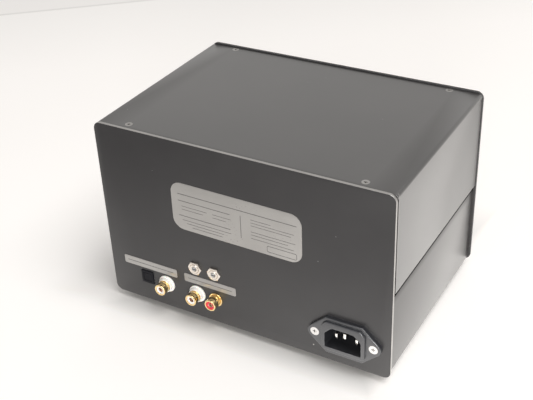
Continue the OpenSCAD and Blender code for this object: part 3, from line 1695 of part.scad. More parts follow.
// Lever that carries the hairspring's outer end, with a fork for the zero screw's pin
module zero_lever(side) {
  ring_r = m3_r + 1.1;
  pin_r = 0.5;
  fork_w = pin_r + zero_pin_fit + 1;
  pin_z = -zero_drop - zero_throw;
  color([0.72, 0.6, 0.35])
    on_side(side)
      translate([0, front_y, pivot_height])
        slab(-lever_back - lever_t, lever_t)
          difference() {
            union() {
              circle(ring_r);
              translate([-fork_w, pin_z - 1])
                square([2 * fork_w, -pin_z + 1]);
            }
            circle(m3_r + stud_fit);
            translate([-pin_r - zero_pin_fit, pin_z - 2])
              square([2 * (pin_r + zero_pin_fit), 4]);
          }
}

module zero_screw(side) {
  flange_front = bezel_inner - screw_flange_gap;
  flange_back = flange_front - screw_flange_t;
  head_front = bezel_d + 0.3;
  color([0.1, 0.1, 0.1])
    on_side(side)
      translate([0, front_y, zero_height])
        difference() {
          union() {
            rod(0, -head_front, 0, zero_head_r, head_front - flange_back);
            rod(0, -flange_front, 0, zero_head_r + 0.8, screw_flange_t);
            rod(0, -flange_back, -zero_throw, 0.5, flange_back - pin_tip);
          }
          translate([-zero_head_r - 1, -head_front - 1, -0.5])
            cube([2 * zero_head_r + 2, 2, 1]);
        }
}

module left_meter_case() {
  meter_case(-1);
}

module left_meter_bezel() {
  meter_bezel(-1);
}

module left_meter_lens() {
  meter_lens(-1);
}

module left_dial_plate() {
  dial_plate(-1);
}

module left_moving_coil() {
  moving_coil(-1);
}

module left_pointer() {
  pointer(-1);
}

module left_zero_screw() {
  zero_screw(-1);
}

module left_zero_lever() {
  zero_lever(-1);
}

module right_meter_case() {
  meter_case(1);
}

module right_meter_bezel() {
  meter_bezel(1);
}

module right_meter_lens() {
  meter_lens(1);
}

module right_dial_plate() {
  dial_plate(1);
}

module right_moving_coil() {
  moving_coil(1);
}

module right_pointer() {
  pointer(1);
}

module right_zero_screw() {
  zero_screw(1);
}

module right_zero_lever() {
  zero_lever(1);
}

front_panel();
rear_panel();
bottom_tray();
top_cover();
crossbars();
case_screws();
cover_screws();
feet();
rating_plate();
label_strips();
optical_input();
optical_shutter();
digital_jack();
left_input_jack();
right_input_jack();
white_jack_insulators();
red_jack_insulator();
jack_contacts();
left_trim_pot();
left_trim_spindle();
right_trim_pot();
right_trim_spindle();
fixing_nuts();
mains_inlet();
inlet_blades();
inlet_screws();
selector_switch();
selector_shaft();
selector_knob();
power_switch();
power_rocker();
reset_switch();
reset_button();
main_board();
board_parts();
stand_offs();
input_board();
transformer();
transformer_fixing();
mains_fuse();
ribbon_cable();
internal_leads();
left_meter_case();
left_meter_bezel();
left_meter_lens();
left_dial_plate();
left_moving_coil();
left_pointer();
left_zero_screw();
left_zero_lever();
right_meter_case();
right_meter_bezel();
right_meter_lens();
right_dial_plate();
right_moving_coil();
right_pointer();
right_zero_screw();
right_zero_lever();
meter_magnets();
movement_frames();
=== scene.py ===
"""A half-rack loudness meter with two moving-coil dials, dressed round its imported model.

Pieces are modelled in millimetres, in the row's own frame, and settle() brings them to metres.
The front faces -Y and the rear, which the camera sees, faces +Y.
"""

import math

import bmesh
import bpy
from mathutils import Matrix, Vector


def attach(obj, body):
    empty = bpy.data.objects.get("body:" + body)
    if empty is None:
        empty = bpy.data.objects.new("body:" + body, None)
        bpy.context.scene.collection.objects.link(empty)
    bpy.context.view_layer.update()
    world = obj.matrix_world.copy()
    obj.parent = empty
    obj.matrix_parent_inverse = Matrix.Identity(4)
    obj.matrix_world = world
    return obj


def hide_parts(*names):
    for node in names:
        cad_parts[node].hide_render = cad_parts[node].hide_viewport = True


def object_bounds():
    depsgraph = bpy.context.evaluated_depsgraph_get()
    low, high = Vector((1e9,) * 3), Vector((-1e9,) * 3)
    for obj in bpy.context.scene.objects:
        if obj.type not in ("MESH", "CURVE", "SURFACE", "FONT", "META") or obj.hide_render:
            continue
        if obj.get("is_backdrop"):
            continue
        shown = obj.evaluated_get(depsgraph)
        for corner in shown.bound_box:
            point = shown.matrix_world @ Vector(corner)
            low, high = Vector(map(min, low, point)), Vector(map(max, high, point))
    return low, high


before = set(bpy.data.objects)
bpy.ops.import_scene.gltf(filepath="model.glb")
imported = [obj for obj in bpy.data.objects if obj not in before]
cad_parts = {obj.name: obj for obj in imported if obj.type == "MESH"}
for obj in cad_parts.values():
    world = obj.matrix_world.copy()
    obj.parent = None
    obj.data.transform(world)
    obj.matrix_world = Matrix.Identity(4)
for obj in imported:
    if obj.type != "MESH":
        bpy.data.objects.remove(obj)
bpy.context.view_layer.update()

MM = 0.001
HAIR = 1e-4

# The case, in millimetres
REAR = 75.85
REAR_IN = 73.65
PANEL_WIDTH = 210
PANEL_TALL = 133
FRONT = -69.15
FRONT_IN = -67.15
PANEL_LOW = 4.9
PANEL_HIGH = 137.9
PANEL_MID = (PANEL_LOW + PANEL_HIGH) / 2
CORNER = 5.0
COVER_TOP = 136.8
COVER_HALF = 104.5
TRAY_HALF = 103.2
SKIRT = 67.8
SHEET = 1.2
SHEET_FRONT = FRONT_IN + 0.3
SHEET_REAR = REAR_IN - 0.8
SKIRT_REAR = SHEET_REAR - 1.8
FOOT_X = 84
COVER_SCREW_X = 82.6
STUD_LOW = 11.4
STUD_HIGH = 131.6
LOW_STUDS = (-92, 0, 92)
HIGH_STUDS = (-50, 50)
CONTROL_Z = 28.9
ROCKER_X = -80
RESET_X = 80
JACK_Z = 24.2
DIGITAL_X = 59.6
LEFT_JACK_X = 34.9
RIGHT_JACK_X = 20.3
TRIM_Z = 45.2
LEFT_TRIM_X = 34.8
RIGHT_TRIM_X = 20.1
STRIP_Z = 34.9
RATING_X = 1.5
RATING_Z = 90.9
INLET_X = -74.5
INLET_Z = 27.0
INLET_SCREW_REACH = 20
OPTICAL_X = 75.6
OPTICAL_Z = 24.7
DIAL_X = 50.5
DIAL_Z = 92.9
PIVOT_Z = 71.9
ZERO_Z = 61.9
WINDOW_Z = 100.9
BOX_Z = 78.65
REST_LEAN = 46.0
DIAL_FIXINGS = [(dx, dz) for dx in (-38, 38) for dz in (-28, 28)]
NUT_TALL = 2.4


# Working in edit mode
def deselect():
    """Leaves nothing selected."""
    bpy.ops.object.select_all(action="DESELECT")


def hold(piece):
    """Selects one piece alone and makes it the active one."""
    deselect()
    bpy.context.view_layer.objects.active = piece
    piece.select_set(True)


def open_mesh(piece):
    """Opens a piece in edit mode with nothing of it selected."""
    hold(piece)
    bpy.ops.object.mode_set(mode="EDIT")
    bpy.ops.mesh.select_all(action="DESELECT")


def close_mesh():
    """Goes back to object mode."""
    bpy.ops.object.mode_set(mode="OBJECT")


def pick(piece, kind, wanted):
    """Selects the VERT, EDGE or FACE parts of the open mesh that pass the test, and no others."""
    bpy.ops.mesh.select_mode(type=kind)
    bpy.ops.mesh.select_all(action="DESELECT")
    mesh = bmesh.from_edit_mesh(piece.data)
    parts = {"VERT": mesh.verts, "EDGE": mesh.edges, "FACE": mesh.faces}[kind]
    for part in parts:
        if wanted(part):
            part.select_set(True)
    bmesh.update_edit_mesh(piece.data)


def middle(edge):
    """Middle of an edge."""
    return (edge.verts[0].co + edge.verts[1].co) / 2


def along(edge, axis):
    """True where an edge runs along the axis numbered 0, 1 or 2."""
    run = edge.verts[1].co - edge.verts[0].co
    return abs(run[axis]) > 0.999 * run.length


def tidy(piece, reach=HAIR):
    """Merges points closer than reach, dissolves faces that small and turns the others outwards."""
    open_mesh(piece)
    bpy.ops.mesh.select_all(action="SELECT")
    bpy.ops.mesh.remove_doubles(threshold=reach)
    bpy.ops.mesh.dissolve_degenerate(threshold=reach)
    bpy.ops.mesh.normals_make_consistent(inside=False)
    close_mesh()
    return piece


# Starting shapes
def block(low, high):
    """A box between two corners."""
    low, high = Vector(low), Vector(high)
    deselect()
    bpy.ops.mesh.primitive_cube_add(size=1, location=(low + high) / 2, scale=high - low)
    bpy.ops.object.transform_apply(location=True, rotation=True, scale=True)
    return bpy.context.active_object


def first_point(place):
    """A mesh of one point, left open in edit mode with that point selected."""
    deselect()
    bpy.ops.mesh.primitive_plane_add(size=1, location=place)
    piece = bpy.context.active_object
    bpy.ops.object.transform_apply(location=True)
    bpy.ops.object.mode_set(mode="EDIT")
    bpy.ops.mesh.select_mode(type="VERT")
    bpy.ops.mesh.select_all(action="SELECT")
    bpy.ops.mesh.merge(type="CENTER")
    return piece


def draw_through(places):
    """Extrudes the selected point through a list of places, from its own place on."""
    for start, end in zip(places, places[1:]):
        bpy.ops.mesh.extrude_vertices_move(TRANSFORM_OT_translate={"value": end - start})


def turned(base, profile, axis="Y", steps=48, closed=True):
    """Spins a profile of (radius, reach) points round an axis through base, as on a lathe."""
    base = Vector(base)
    out = {"X": Vector((0, 1, 0)), "Y": Vector((1, 0, 0)), "Z": Vector((1, 0, 0))}[axis]
    up = {"X": Vector((1, 0, 0)), "Y": Vector((0, 1, 0)), "Z": Vector((0, 0, 1))}[axis]
    places = [base + out * radius + up * reach for radius, reach in profile]
    if closed:
        places.append(places[0])
    piece = first_point(places[0])
    draw_through(places)
    bpy.ops.mesh.select_all(action="SELECT")
    bpy.ops.mesh.spin(steps=steps, angle=2 * math.pi, center=base, axis=up)
    close_mesh()
    tidy(piece)
    return piece


def outlined(points, front, thickness, lift=None):
    """A flat shape with the given (x, z) outline, from y = front to front + thickness.

    lift turns a pair of numbers into a place, for a shape that lies in another plane.
    """
    lift = lift or (lambda a, b: Vector((a, front, b)))
    places = [lift(a, b) for a, b in points]
    piece = first_point(places[0])
    draw_through(places + places[:1])
    bpy.ops.mesh.select_all(action="SELECT")
    bpy.ops.mesh.remove_doubles(threshold=HAIR)
    bpy.ops.mesh.select_all(action="SELECT")
    bpy.ops.mesh.edge_face_add()
    push = Vector(thickness) if hasattr(thickness, "__len__") else Vector((0, thickness, 0))
    bpy.ops.mesh.extrude_region_move(TRANSFORM_OT_translate={"value": push})
    close_mesh()
    tidy(piece)
    return piece


def plate(centre, size, front, thickness, corner, steps=10):
    """A sheet standing in the XZ plane, with rounded corners."""
    x, z = centre
    width, height = size
    deselect()
    bpy.ops.mesh.primitive_plane_add(size=1, location=(x, front, z), rotation=(math.pi / 2, 0, 0))
    piece = bpy.context.active_object
    piece.scale = (width, height, 1)
    bpy.ops.object.transform_apply(location=True, rotation=True, scale=True)
    bpy.ops.object.mode_set(mode="EDIT")
    bpy.ops.mesh.select_all(action="SELECT")
    if corner:
        bpy.ops.mesh.bevel(affect="VERTICES", offset=corner, segments=steps, profile=0.5)
        bpy.ops.mesh.select_all(action="SELECT")
    bpy.ops.mesh.extrude_region_move(TRANSFORM_OT_translate={"value": (0, thickness, 0)})
    close_mesh()
    tidy(piece)
    return piece


def post(x, z, radius, front, length, steps=32):
    """A round bar along Y, with its ends eased."""
    ease = min(0.2, radius * 0.2)
    back = front + length
    profile = [(0, front), (radius - ease, front), (radius, front + ease),
               (radius, back - ease), (radius - ease, back), (0, back)]
    return turned((x, 0, z), profile, steps=steps, closed=False)


def drill(x, z, radius, steps=32):
    """A tool that drills right through a panel along Y."""
    profile = [(0, -100), (radius, -100), (radius, 100), (0, 100)]
    return turned((x, 0, z), profile, steps=steps, closed=False)


def six_sided(x, z, flats, front, thickness, turn=30):
    """A six-sided bar along Y."""
    deselect()
    bpy.ops.mesh.primitive_cylinder_add(
        vertices=6, radius=flats / 2 / math.cos(math.pi / 6), depth=thickness,
        location=(x, front + thickness / 2, z), rotation=(math.pi / 2, 0, 0))
    piece = bpy.context.active_object
    bpy.ops.object.transform_apply(location=True, rotation=True, scale=True)
    piece.data.transform(turn_about((x, 0, z), "Y", turn))
    return piece


# Changing shapes
def turn_about(centre, axis, degrees):
    """Matrix that turns round an axis through a point."""
    there = Matrix.Translation(Vector(centre))
    return there @ Matrix.Rotation(math.radians(degrees), 4, axis) @ there.inverted()


def joined(pieces):
    """Joins pieces into the first of them."""
    deselect()
    for piece in pieces:
        piece.select_set(True)
    bpy.context.view_layer.objects.active = pieces[0]
    bpy.ops.object.join()
    return pieces[0]


def combine(piece, tool, how):
    """Cuts a tool out of a piece, adds it to it or keeps what they share, and takes the tool away."""
    hold(piece)
    change = piece.modifiers.new("combine", "BOOLEAN")
    change.operation = how
    change.solver = "EXACT"
    change.object = tool
    bpy.ops.object.modifier_apply(modifier=change.name)
    bpy.data.objects.remove(tool)
    return piece


def cut(piece, *tools):
    """Cuts tools that don't touch each other out of a piece."""
    return combine(piece, joined(list(tools)), "DIFFERENCE")


def soften(piece, width, steps=2, angle=40):
    """Rounds every edge that turns by more than an angle."""
    hold(piece)
    bevel = piece.modifiers.new("soften", "BEVEL")
    bevel.limit_method = "ANGLE"
    bevel.angle_limit = math.radians(angle)
    bevel.width = width
    bevel.segments = steps
    bpy.ops.object.modifier_apply(modifier=bevel.name)
    return piece


def round_off(piece, width, steps, wanted):
    """Rounds the edges that pass the test."""
    open_mesh(piece)
    pick(piece, "EDGE", wanted)
    bpy.ops.mesh.bevel(offset=width, segments=steps, profile=0.5, affect="EDGES")
    close_mesh()
    return piece


def copy_of(piece, matrix):
    """A copy with its own mesh, moved by a matrix."""
    other = piece.copy()
    other.data = piece.data.copy()
    bpy.context.scene.collection.objects.link(other)
    other.data.transform(matrix)
    return other


def repeated(piece, places):
    """Copies a piece to each place after its own and joins them all."""
    copies = [copy_of(piece, Matrix.Translation(Vector(place))) for place in places]
    return joined([piece] + copies)


def settle(piece, name, finish, body="case", stands_for=(), smooth=35):
    """Brings a finished piece to metres, names it and hands it to its body."""
    piece.name = name
    piece.data.name = name
    piece.data.transform(Matrix.Scale(MM, 4))
    hold(piece)
    bpy.ops.object.shade_smooth_by_angle(angle=math.radians(smooth))
    piece.data.materials.clear()
    piece.data.materials.append(finish)
    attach(piece, body)
    if stands_for:
        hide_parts(*stands_for)
    return piece


# Shader node groups
def add_node(tree, kind, feeds=None, **settings):
    """Adds a shader node. feeds gives its inputs a value or another node's output."""
    node = tree.nodes.new("ShaderNode" + kind)
    for name, value in settings.items():
        setattr(node, name, value)
    for name, value in (feeds or {}).items():
        if isinstance(value, bpy.types.NodeSocket):
            tree.links.new(value, node.inputs[name])
        else:
            node.inputs[name].default_value = value
    return node


def new_group(name, inputs, outputs):
    """Starts a node group with named inputs and outputs."""
    group = bpy.data.node_groups.new(name, "ShaderNodeTree")
    kinds = {float: "NodeSocketFloat", tuple: "NodeSocketColor"}
    for label, value in inputs.items():
        socket = group.interface.new_socket(name=label, in_out="INPUT", socket_type=kinds[type(value)])
        socket.default_value = value
    for label, kind in outputs.items():
        group.interface.new_socket(name=label, in_out="OUTPUT", socket_type="NodeSocket" + kind)
    return group, group.nodes.new("NodeGroupInput").outputs, group.nodes.new("NodeGroupOutput").inputs


def math_node(tree, how, first, second=0.0, third=None, clamp=False):
    """A math node's output."""
    node = add_node(tree, "Math", {0: first, 1: second}, operation=how, use_clamp=clamp)
    if third is not None:
        if isinstance(third, bpy.types.NodeSocket):
            tree.links.new(third, node.inputs[2])
        else:
            node.inputs[2].default_value = third
    return node.outputs[0]


def here(tree):
    """Place on the piece, in metres."""
    return add_node(tree, "TexCoord").outputs["Object"]


def noise(tree, scale, detail=2.0, place=None):
    """Noise from 0 to 1."""
    feeds = {"Vector": place or here(tree), "Scale": scale, "Detail": detail}
    return add_node(tree, "TexNoise", feeds).outputs["Fac"]


def rgba(colour):
    """A colour with its alpha."""
    return (*colour, 1.0)


def mix_colour(tree, factor, first, second):
    """Colour between two colours, by a mask."""
    node = add_node(tree, "Mix", {"Factor": factor, "A": first, "B": second}, data_type="RGBA")
    return node.outputs["Result"]


def ramp(tree, value, start, end, low=0.0, high=1.0):
    """Runs from low to high while a value runs from start to end."""
    feeds = {"Value": value, "From Min": start, "From Max": end, "To Min": low, "To Max": high}
    return add_node(tree, "MapRange", feeds).outputs[0]


def greatest(tree, first, *others):
    """The greatest of several values."""
    for other in others:
        first = math_node(tree, "MAXIMUM", first, other)
    return first


def axes(tree, place=None):
    """X, Y and Z of a place, or of the place on the piece."""
    return add_node(tree, "SeparateXYZ", {"Vector": place or here(tree)}).outputs


def build_grain():
    """Fine grain of paint, plastic or card: roughness that varies a little, and a shallow bump."""
    group, given, out = new_group(
        "fine_grain", {"Scale": 1500.0, "Depth": 0.00001, "Roughness": 0.5, "Spread": 0.1},
        {"Roughness": "Float", "Normal": "Vector"})
    grain = noise(group, given["Scale"], 3.0)
    broad = noise(group, 35.0, 3.0)
    fine = math_node(group, "MULTIPLY", grain, 0.6)
    both = math_node(group, "ADD", fine, math_node(group, "MULTIPLY", broad, 0.4))
    centred = math_node(group, "SUBTRACT", both, 0.5)
    rough = math_node(group, "MULTIPLY_ADD", centred, given["Spread"], given["Roughness"], clamp=True)
    bump = add_node(group, "Bump", {"Strength": 1.0, "Distance": given["Depth"], "Height": grain})
    group.links.new(rough, out["Roughness"])
    group.links.new(bump.outputs[0], out["Normal"])
    return group


def build_drift():
    """Slow drift between two colours over the surface."""
    group, given, out = new_group(
        "colour_drift", {"Colour": (0.5, 0.5, 0.5, 1.0), "Other Colour": (0.4, 0.4, 0.4, 1.0), "Scale": 20.0},
        {"Colour": "Color"})
    factor = ramp(group, noise(group, given["Scale"], 4.0), 0.35, 0.65)
    group.links.new(mix_colour(group, factor, given["Colour"], given["Other Colour"]), out["Colour"])
    return group


def build_wear():
    """Mask of edges that handling has worn, broken up by noise."""
    group, given, out = new_group(
        "worn_edge", {"Width": 0.0005, "Amount": 0.5, "Breakup": 400.0}, {"Mask": "Float"})
    rounded = add_node(group, "Bevel", {"Radius": given["Width"]}, samples=6).outputs[0]
    plain = add_node(group, "NewGeometry").outputs["Normal"]
    facing = add_node(group, "VectorMath", {0: rounded, 1: plain}, operation="DOT_PRODUCT").outputs["Value"]
    edge = ramp(group, facing, 0.99, 0.85)
    broken = ramp(group, noise(group, given["Breakup"], 5.0), 0.4, 0.7)
    mask = math_node(group, "MULTIPLY", edge, broken)
    group.links.new(math_node(group, "MULTIPLY", mask, given["Amount"], clamp=True), out["Mask"])
    return group


def build_specks():
    """Mask of sparse dust specks."""
    group, given, out = new_group(
        "dust_specks", {"Scale": 250.0, "Size": 0.09, "Share": 0.1}, {"Mask": "Float"})
    cells = add_node(group, "TexVoronoi", {"Vector": here(group), "Scale": given["Scale"]})
    near = math_node(group, "LESS_THAN", cells.outputs["Distance"], given["Size"])
    shades = add_node(group, "SeparateColor", {"Color": cells.outputs["Color"]}).outputs
    lucky = math_node(group, "LESS_THAN", shades[0], given["Share"])
    group.links.new(math_node(group, "MULTIPLY", near, lucky), out["Mask"])
    return group


def build_brushing():
    """Streaks of brushed or turned metal, long across one axis and fine along the other two."""
    group, given, out = new_group(
        "brushing",
        {"Along X": 20.0, "Along Y": 2000.0, "Along Z": 2000.0, "Depth": 0.000004, "Roughness": 0.3,
        "Spread": 0.2},
        {"Streak": "Float", "Roughness": "Float", "Normal": "Vector"})
    stretch = add_node(group, "CombineXYZ", {way: given["Along " + way] for way in "XYZ"}).outputs[0]
    place = add_node(group, "VectorMath", {0: here(group), 1: stretch}, operation="MULTIPLY").outputs[0]
    streak = noise(group, 1.0, 3.0, place)
    centred = math_node(group, "SUBTRACT", streak, 0.5)
    rough = math_node(group, "MULTIPLY_ADD", centred, given["Spread"], given["Roughness"], clamp=True)
    bump = add_node(group, "Bump", {"Strength": 1.0, "Distance": given["Depth"], "Height": streak})
    group.links.new(streak, out["Streak"])
    group.links.new(rough, out["Roughness"])
    group.links.new(bump.outputs[0], out["Normal"])
    return group


GRAIN = build_grain()
DRIFT = build_drift()
WEAR = build_wear()
SPECKS = build_specks()
BRUSHING = build_brushing()


def use_group(tree, group, **values):
    """Places a node group in a material with its own values. Underscores stand for spaces."""
    node = tree.nodes.new("ShaderNodeGroup")
    node.node_tree = group
    for name, value in values.items():
        socket = node.inputs[name.replace("_", " ")]
        if isinstance(value, bpy.types.NodeSocket):
            tree.links.new(value, socket)
        else:
            socket.default_value = value
    return node.outputs


def new_material(name):
    """An empty material with its shader, ready for its inputs."""
    material = bpy.data.materials.new(name)
    material.use_nodes = True
    tree = material.node_tree
    shader = tree.nodes["Principled BSDF"]
    return material, tree, shader


def coated(name, colour, other, roughness, grain=1500.0, depth=0.00001, spread=0.12, wear=0.0,
           worn=(0.6, 0.6, 0.6),
           width=0.0005, specks=0.0, specular=0.5, drift=20.0, **sockets):
    """Paint, plastic, rubber or card: two close colours, fine grain, worn edges and a little dust."""
    material, tree, shader = new_material(name)
    shade = use_group(tree, DRIFT, Colour=rgba(colour), Other_Colour=rgba(other), Scale=drift)["Colour"]
    if wear:
        mask = use_group(tree, WEAR, Width=width, Amount=wear)["Mask"]
        shade = mix_colour(tree, mask, shade, rgba(worn))
    if specks:
        mask = use_group(tree, SPECKS, Share=specks)["Mask"]
        shade = mix_colour(tree, mask, shade, rgba((0.20, 0.195, 0.19)))
    surface = use_group(tree, GRAIN, Scale=grain, Depth=depth, Roughness=roughness, Spread=spread)
    tree.links.new(shade, shader.inputs["Base Color"])
    tree.links.new(surface["Roughness"], shader.inputs["Roughness"])
    tree.links.new(surface["Normal"], shader.inputs["Normal"])
    shader.inputs["Specular IOR Level"].default_value = specular
    for key, value in sockets.items():
        shader.inputs[key.replace("_", " ")].default_value = value
    return material


def metal(name, colour, other, roughness, spread=0.15, streaks=(900.0, 900.0, 900.0), depth=0.000002,
          wear=0.0,
          worn=(0.8, 0.78, 0.74), drift=60.0, **sockets):
    """Bare or plated metal with streaks, a little tarnish and rubbed edges."""
    material, tree, shader = new_material(name)
    shade = use_group(tree, DRIFT, Colour=rgba(colour), Other_Colour=rgba(other), Scale=drift)["Colour"]
    if wear:
        mask = use_group(tree, WEAR, Width=0.0003, Amount=wear)["Mask"]
        shade = mix_colour(tree, mask, shade, rgba(worn))
    surface = use_group(tree, BRUSHING, Along_X=streaks[0], Along_Y=streaks[1], Along_Z=streaks[2],
                        Depth=depth,
                        Roughness=roughness, Spread=spread)
    tree.links.new(shade, shader.inputs["Base Color"])
    tree.links.new(surface["Roughness"], shader.inputs["Roughness"])
    tree.links.new(surface["Normal"], shader.inputs["Normal"])
    shader.inputs["Metallic"].default_value = 1.0
    for key, value in sockets.items():
        shader.inputs[key.replace("_", " ")].default_value = value
    return material


# Finishes
panel_coat = coated("panel_coat", (0.032, 0.0307, 0.0313), (0.038, 0.0364, 0.0367), 0.32, grain=2200.0,
                    depth=0.000012,
                    wear=0.75, worn=(0.42, 0.41, 0.40), width=0.0005, specks=0.015, specular=0.42)
sheet_coat, seam_coat = [
    coated(name, (0.042, 0.0405, 0.039), (0.048, 0.0455, 0.044), 0.38, grain=2200.0, depth=0.000012,
    wear=0.35,
           worn=(0.30, 0.29, 0.28), width=0.0004, specks=0.02, Coat_Weight=1.0, Coat_Roughness=0.3,
           Coat_IOR=1.6)
    for name in ("sheet_coat", "seam_coat")]
bare_aluminium = metal("bare_aluminium", (0.50, 0.485, 0.47), (0.44, 0.43, 0.42), 0.34,
                       streaks=(60.0, 1500.0, 60.0))
silver_film = coated("silver_film", (0.39, 0.376, 0.357), (0.35, 0.336, 0.32), 0.30, grain=1200.0,
                     depth=0.000004,
                     spread=0.15, specks=0.02, Metallic=0.35)
print_black = coated("print_black", (0.03, 0.03, 0.03), (0.05, 0.05, 0.05), 0.5)
print_grey = coated("print_grey", (0.10, 0.098, 0.095), (0.13, 0.127, 0.122), 0.45)
print_red = coated("print_red", (0.55, 0.03, 0.02), (0.48, 0.03, 0.02), 0.5)
print_green = coated("print_green", (0.03, 0.25, 0.08), (0.03, 0.22, 0.07), 0.5)
print_white = coated("print_white", (0.80, 0.79, 0.76), (0.74, 0.73, 0.70), 0.5)
gold_plate = metal("gold_plate", (0.92, 0.71, 0.38), (0.82, 0.60, 0.29), 0.15, spread=0.12)
contact_metal = metal("contact_metal", (0.90, 0.74, 0.64), (0.80, 0.63, 0.53), 0.40)
bright_nickel = metal("bright_nickel", (0.86, 0.80, 0.74), (0.74, 0.68, 0.61), 0.18, wear=0.4)
zinc_plate = metal("zinc_plate", (0.64, 0.63, 0.62), (0.54, 0.53, 0.52), 0.28, wear=0.4)
dull_steel = metal("dull_steel", (0.50, 0.50, 0.50), (0.40, 0.40, 0.40), 0.38)
dark_steel = metal("dark_steel", (0.50, 0.49, 0.475), (0.40, 0.39, 0.375), 0.34, wear=0.9,
                   worn=(0.60, 0.59, 0.57))
soft_iron = metal("soft_iron", (0.36, 0.34, 0.32), (0.28, 0.26, 0.25), 0.45)
brass = metal("brass", (0.78, 0.60, 0.30), (0.68, 0.50, 0.24), 0.28)
copper = metal("copper", (0.80, 0.36, 0.18), (0.66, 0.27, 0.12), 0.30, streaks=(3000.0, 60.0, 3000.0),
               depth=0.00002)
blade_metal = metal("blade_metal", (0.88, 0.86, 0.82), (0.76, 0.73, 0.68), 0.18, wear=0.4)
spun_aluminium = metal("spun_aluminium", (0.72, 0.72, 0.72), (0.66, 0.66, 0.66), 0.30)
white_nylon = coated("white_nylon", (0.88, 0.86, 0.82), (0.85, 0.83, 0.78), 0.42, depth=0.000005,
                     Subsurface_Weight=0.1, Subsurface_Scale=0.001)
red_nylon = coated("red_nylon", (0.74, 0.03, 0.055), (0.64, 0.02, 0.045), 0.38, depth=0.000005)
grey_moulding = coated("grey_moulding", (0.085, 0.084, 0.083), (0.10, 0.099, 0.097), 0.42, grain=1800.0)
black_moulding = coated("black_moulding", (0.022, 0.022, 0.023), (0.030, 0.030, 0.031), 0.38, grain=1800.0,
                        wear=0.3, worn=(0.12, 0.12, 0.12), specks=0.01)
knob_moulding = coated("knob_moulding", (0.020, 0.020, 0.021), (0.027, 0.027, 0.028), 0.42, grain=1800.0,
                       wear=0.35, worn=(0.13, 0.13, 0.13))
# The inlet's pale worn edges are partly wear and partly a painted highlight along its edges
inlet_moulding = coated("inlet_moulding", (0.023, 0.024, 0.028), (0.029, 0.030, 0.034), 0.30, grain=1600.0,
                        depth=0.000006, wear=0.8, worn=(0.26, 0.26, 0.27), width=0.0006, specular=0.9)
deep_black = coated("deep_black", (0.006, 0.006, 0.008), (0.009, 0.009, 0.012), 0.5, grain=1600.0,
                    specular=0.15)
rubber = coated("rubber", (0.020, 0.020, 0.020), (0.030, 0.029, 0.028), 0.75, grain=1200.0, depth=0.00003,
                specks=0.04)
dial_card = coated("dial_card", (0.84, 0.80, 0.69), (0.82, 0.78, 0.66), 0.60, grain=2600.0, depth=0.000006)
pointer_paint = coated("pointer_paint", (0.50, 0.03, 0.02), (0.45, 0.03, 0.02), 0.4)
bezel_moulding = coated("bezel_moulding", (0.018, 0.018, 0.019), (0.024, 0.024, 0.025), 0.34, grain=2000.0,
                        wear=0.3, worn=(0.12, 0.12, 0.12), specks=0.01)
red_cap = coated("red_cap", (0.55, 0.035, 0.03), (0.48, 0.03, 0.025), 0.28, depth=0.000003, wear=0.3,
                 worn=(0.7, 0.2, 0.17), Coat_Weight=0.3)
laminate = coated("laminate", (0.02, 0.14, 0.06), (0.03, 0.20, 0.09), 0.35, drift=350.0)
chip_epoxy = coated("chip_epoxy", (0.03, 0.03, 0.032), (0.045, 0.045, 0.046), 0.5)
ribbon_vinyl = coated("ribbon_vinyl", (0.40, 0.40, 0.42), (0.34, 0.34, 0.36), 0.45, drift=900.0)
lead_vinyl = coated("lead_vinyl", (0.05, 0.09, 0.35), (0.06, 0.11, 0.40), 0.4)
fuse_glass = coated("fuse_glass", (0.72, 0.74, 0.70), (0.66, 0.66, 0.62), 0.12, Transmission_Weight=0.6)
wound_tape = coated("wound_tape", (0.62, 0.43, 0.12), (0.50, 0.33, 0.08), 0.35, grain=900.0, depth=0.00004,
                    drift=140.0)
ceramic_magnet = coated("ceramic_magnet", (0.06, 0.06, 0.065), (0.09, 0.09, 0.09), 0.55)
blue_epoxy = coated("blue_epoxy", (0.03, 0.08, 0.20), (0.04, 0.10, 0.24), 0.4)


def tint(tree, mask, colour):
    """Lays a colour over a finish, by a mask."""
    base = tree.nodes["Principled BSDF"].inputs["Base Color"]
    tree.links.new(mix_colour(tree, mask, base.links[0].from_socket, rgba(colour)), base)


# Heights in metres at which the tray's painted shadow, its soft band and its dark strip, begin, and at which
# each is full
SEAM_SHADOW_BAND = (0.0588, 0.0645)
SEAM_SHADOW_STRIP = (0.0636, 0.0643)


def paint_seam_shadow(material):
    """Paints shade on the tray below the cover's edge, in a soft band and a dark strip, and dulls its coat
    there. It is painted shadow, in colour, not a gap.
    """
    tree = material.node_tree
    inputs = tree.nodes["Principled BSDF"].inputs
    height = axes(tree)["Z"]
    soft = ramp(tree, height, *SEAM_SHADOW_BAND, high=0.5)
    sharp = ramp(tree, height, *SEAM_SHADOW_STRIP, high=0.55)
    both = math_node(tree, "ADD", soft, sharp, clamp=True)
    tint(tree, both, (0.01, 0.0095, 0.009))
    left = math_node(tree, "SUBTRACT", 1.0, both)
    tree.links.new(left, inputs["Coat Weight"])
    tree.links.new(math_node(tree, "MULTIPLY", left, 0.5), inputs["Specular IOR Level"])


# Paints the seam's shadow onto the tray's coat
paint_seam_shadow(seam_coat)


def paint_skirt_edge_highlights(material):
    """Paints a highlight on the cover's edges, as lighter colour: along the bottom of each skirt and at its
    rear end.
    """
    tree = material.node_tree
    place = axes(tree)
    sides = math_node(tree, "GREATER_THAN", math_node(tree, "ABSOLUTE", place["X"]), (COVER_HALF - 1) * MM)
    bottom = math_node(tree, "COMPARE", place["Z"], (SKIRT + 0.4) * MM, 0.00035)
    rear_end = math_node(tree, "COMPARE", place["Y"], (SKIRT_REAR - 0.5) * MM, 0.0005)
    tint(tree, math_node(tree, "MULTIPLY", sides, greatest(tree, bottom, rear_end)), (0.12, 0.115, 0.11))


paint_skirt_edge_highlights(sheet_coat)


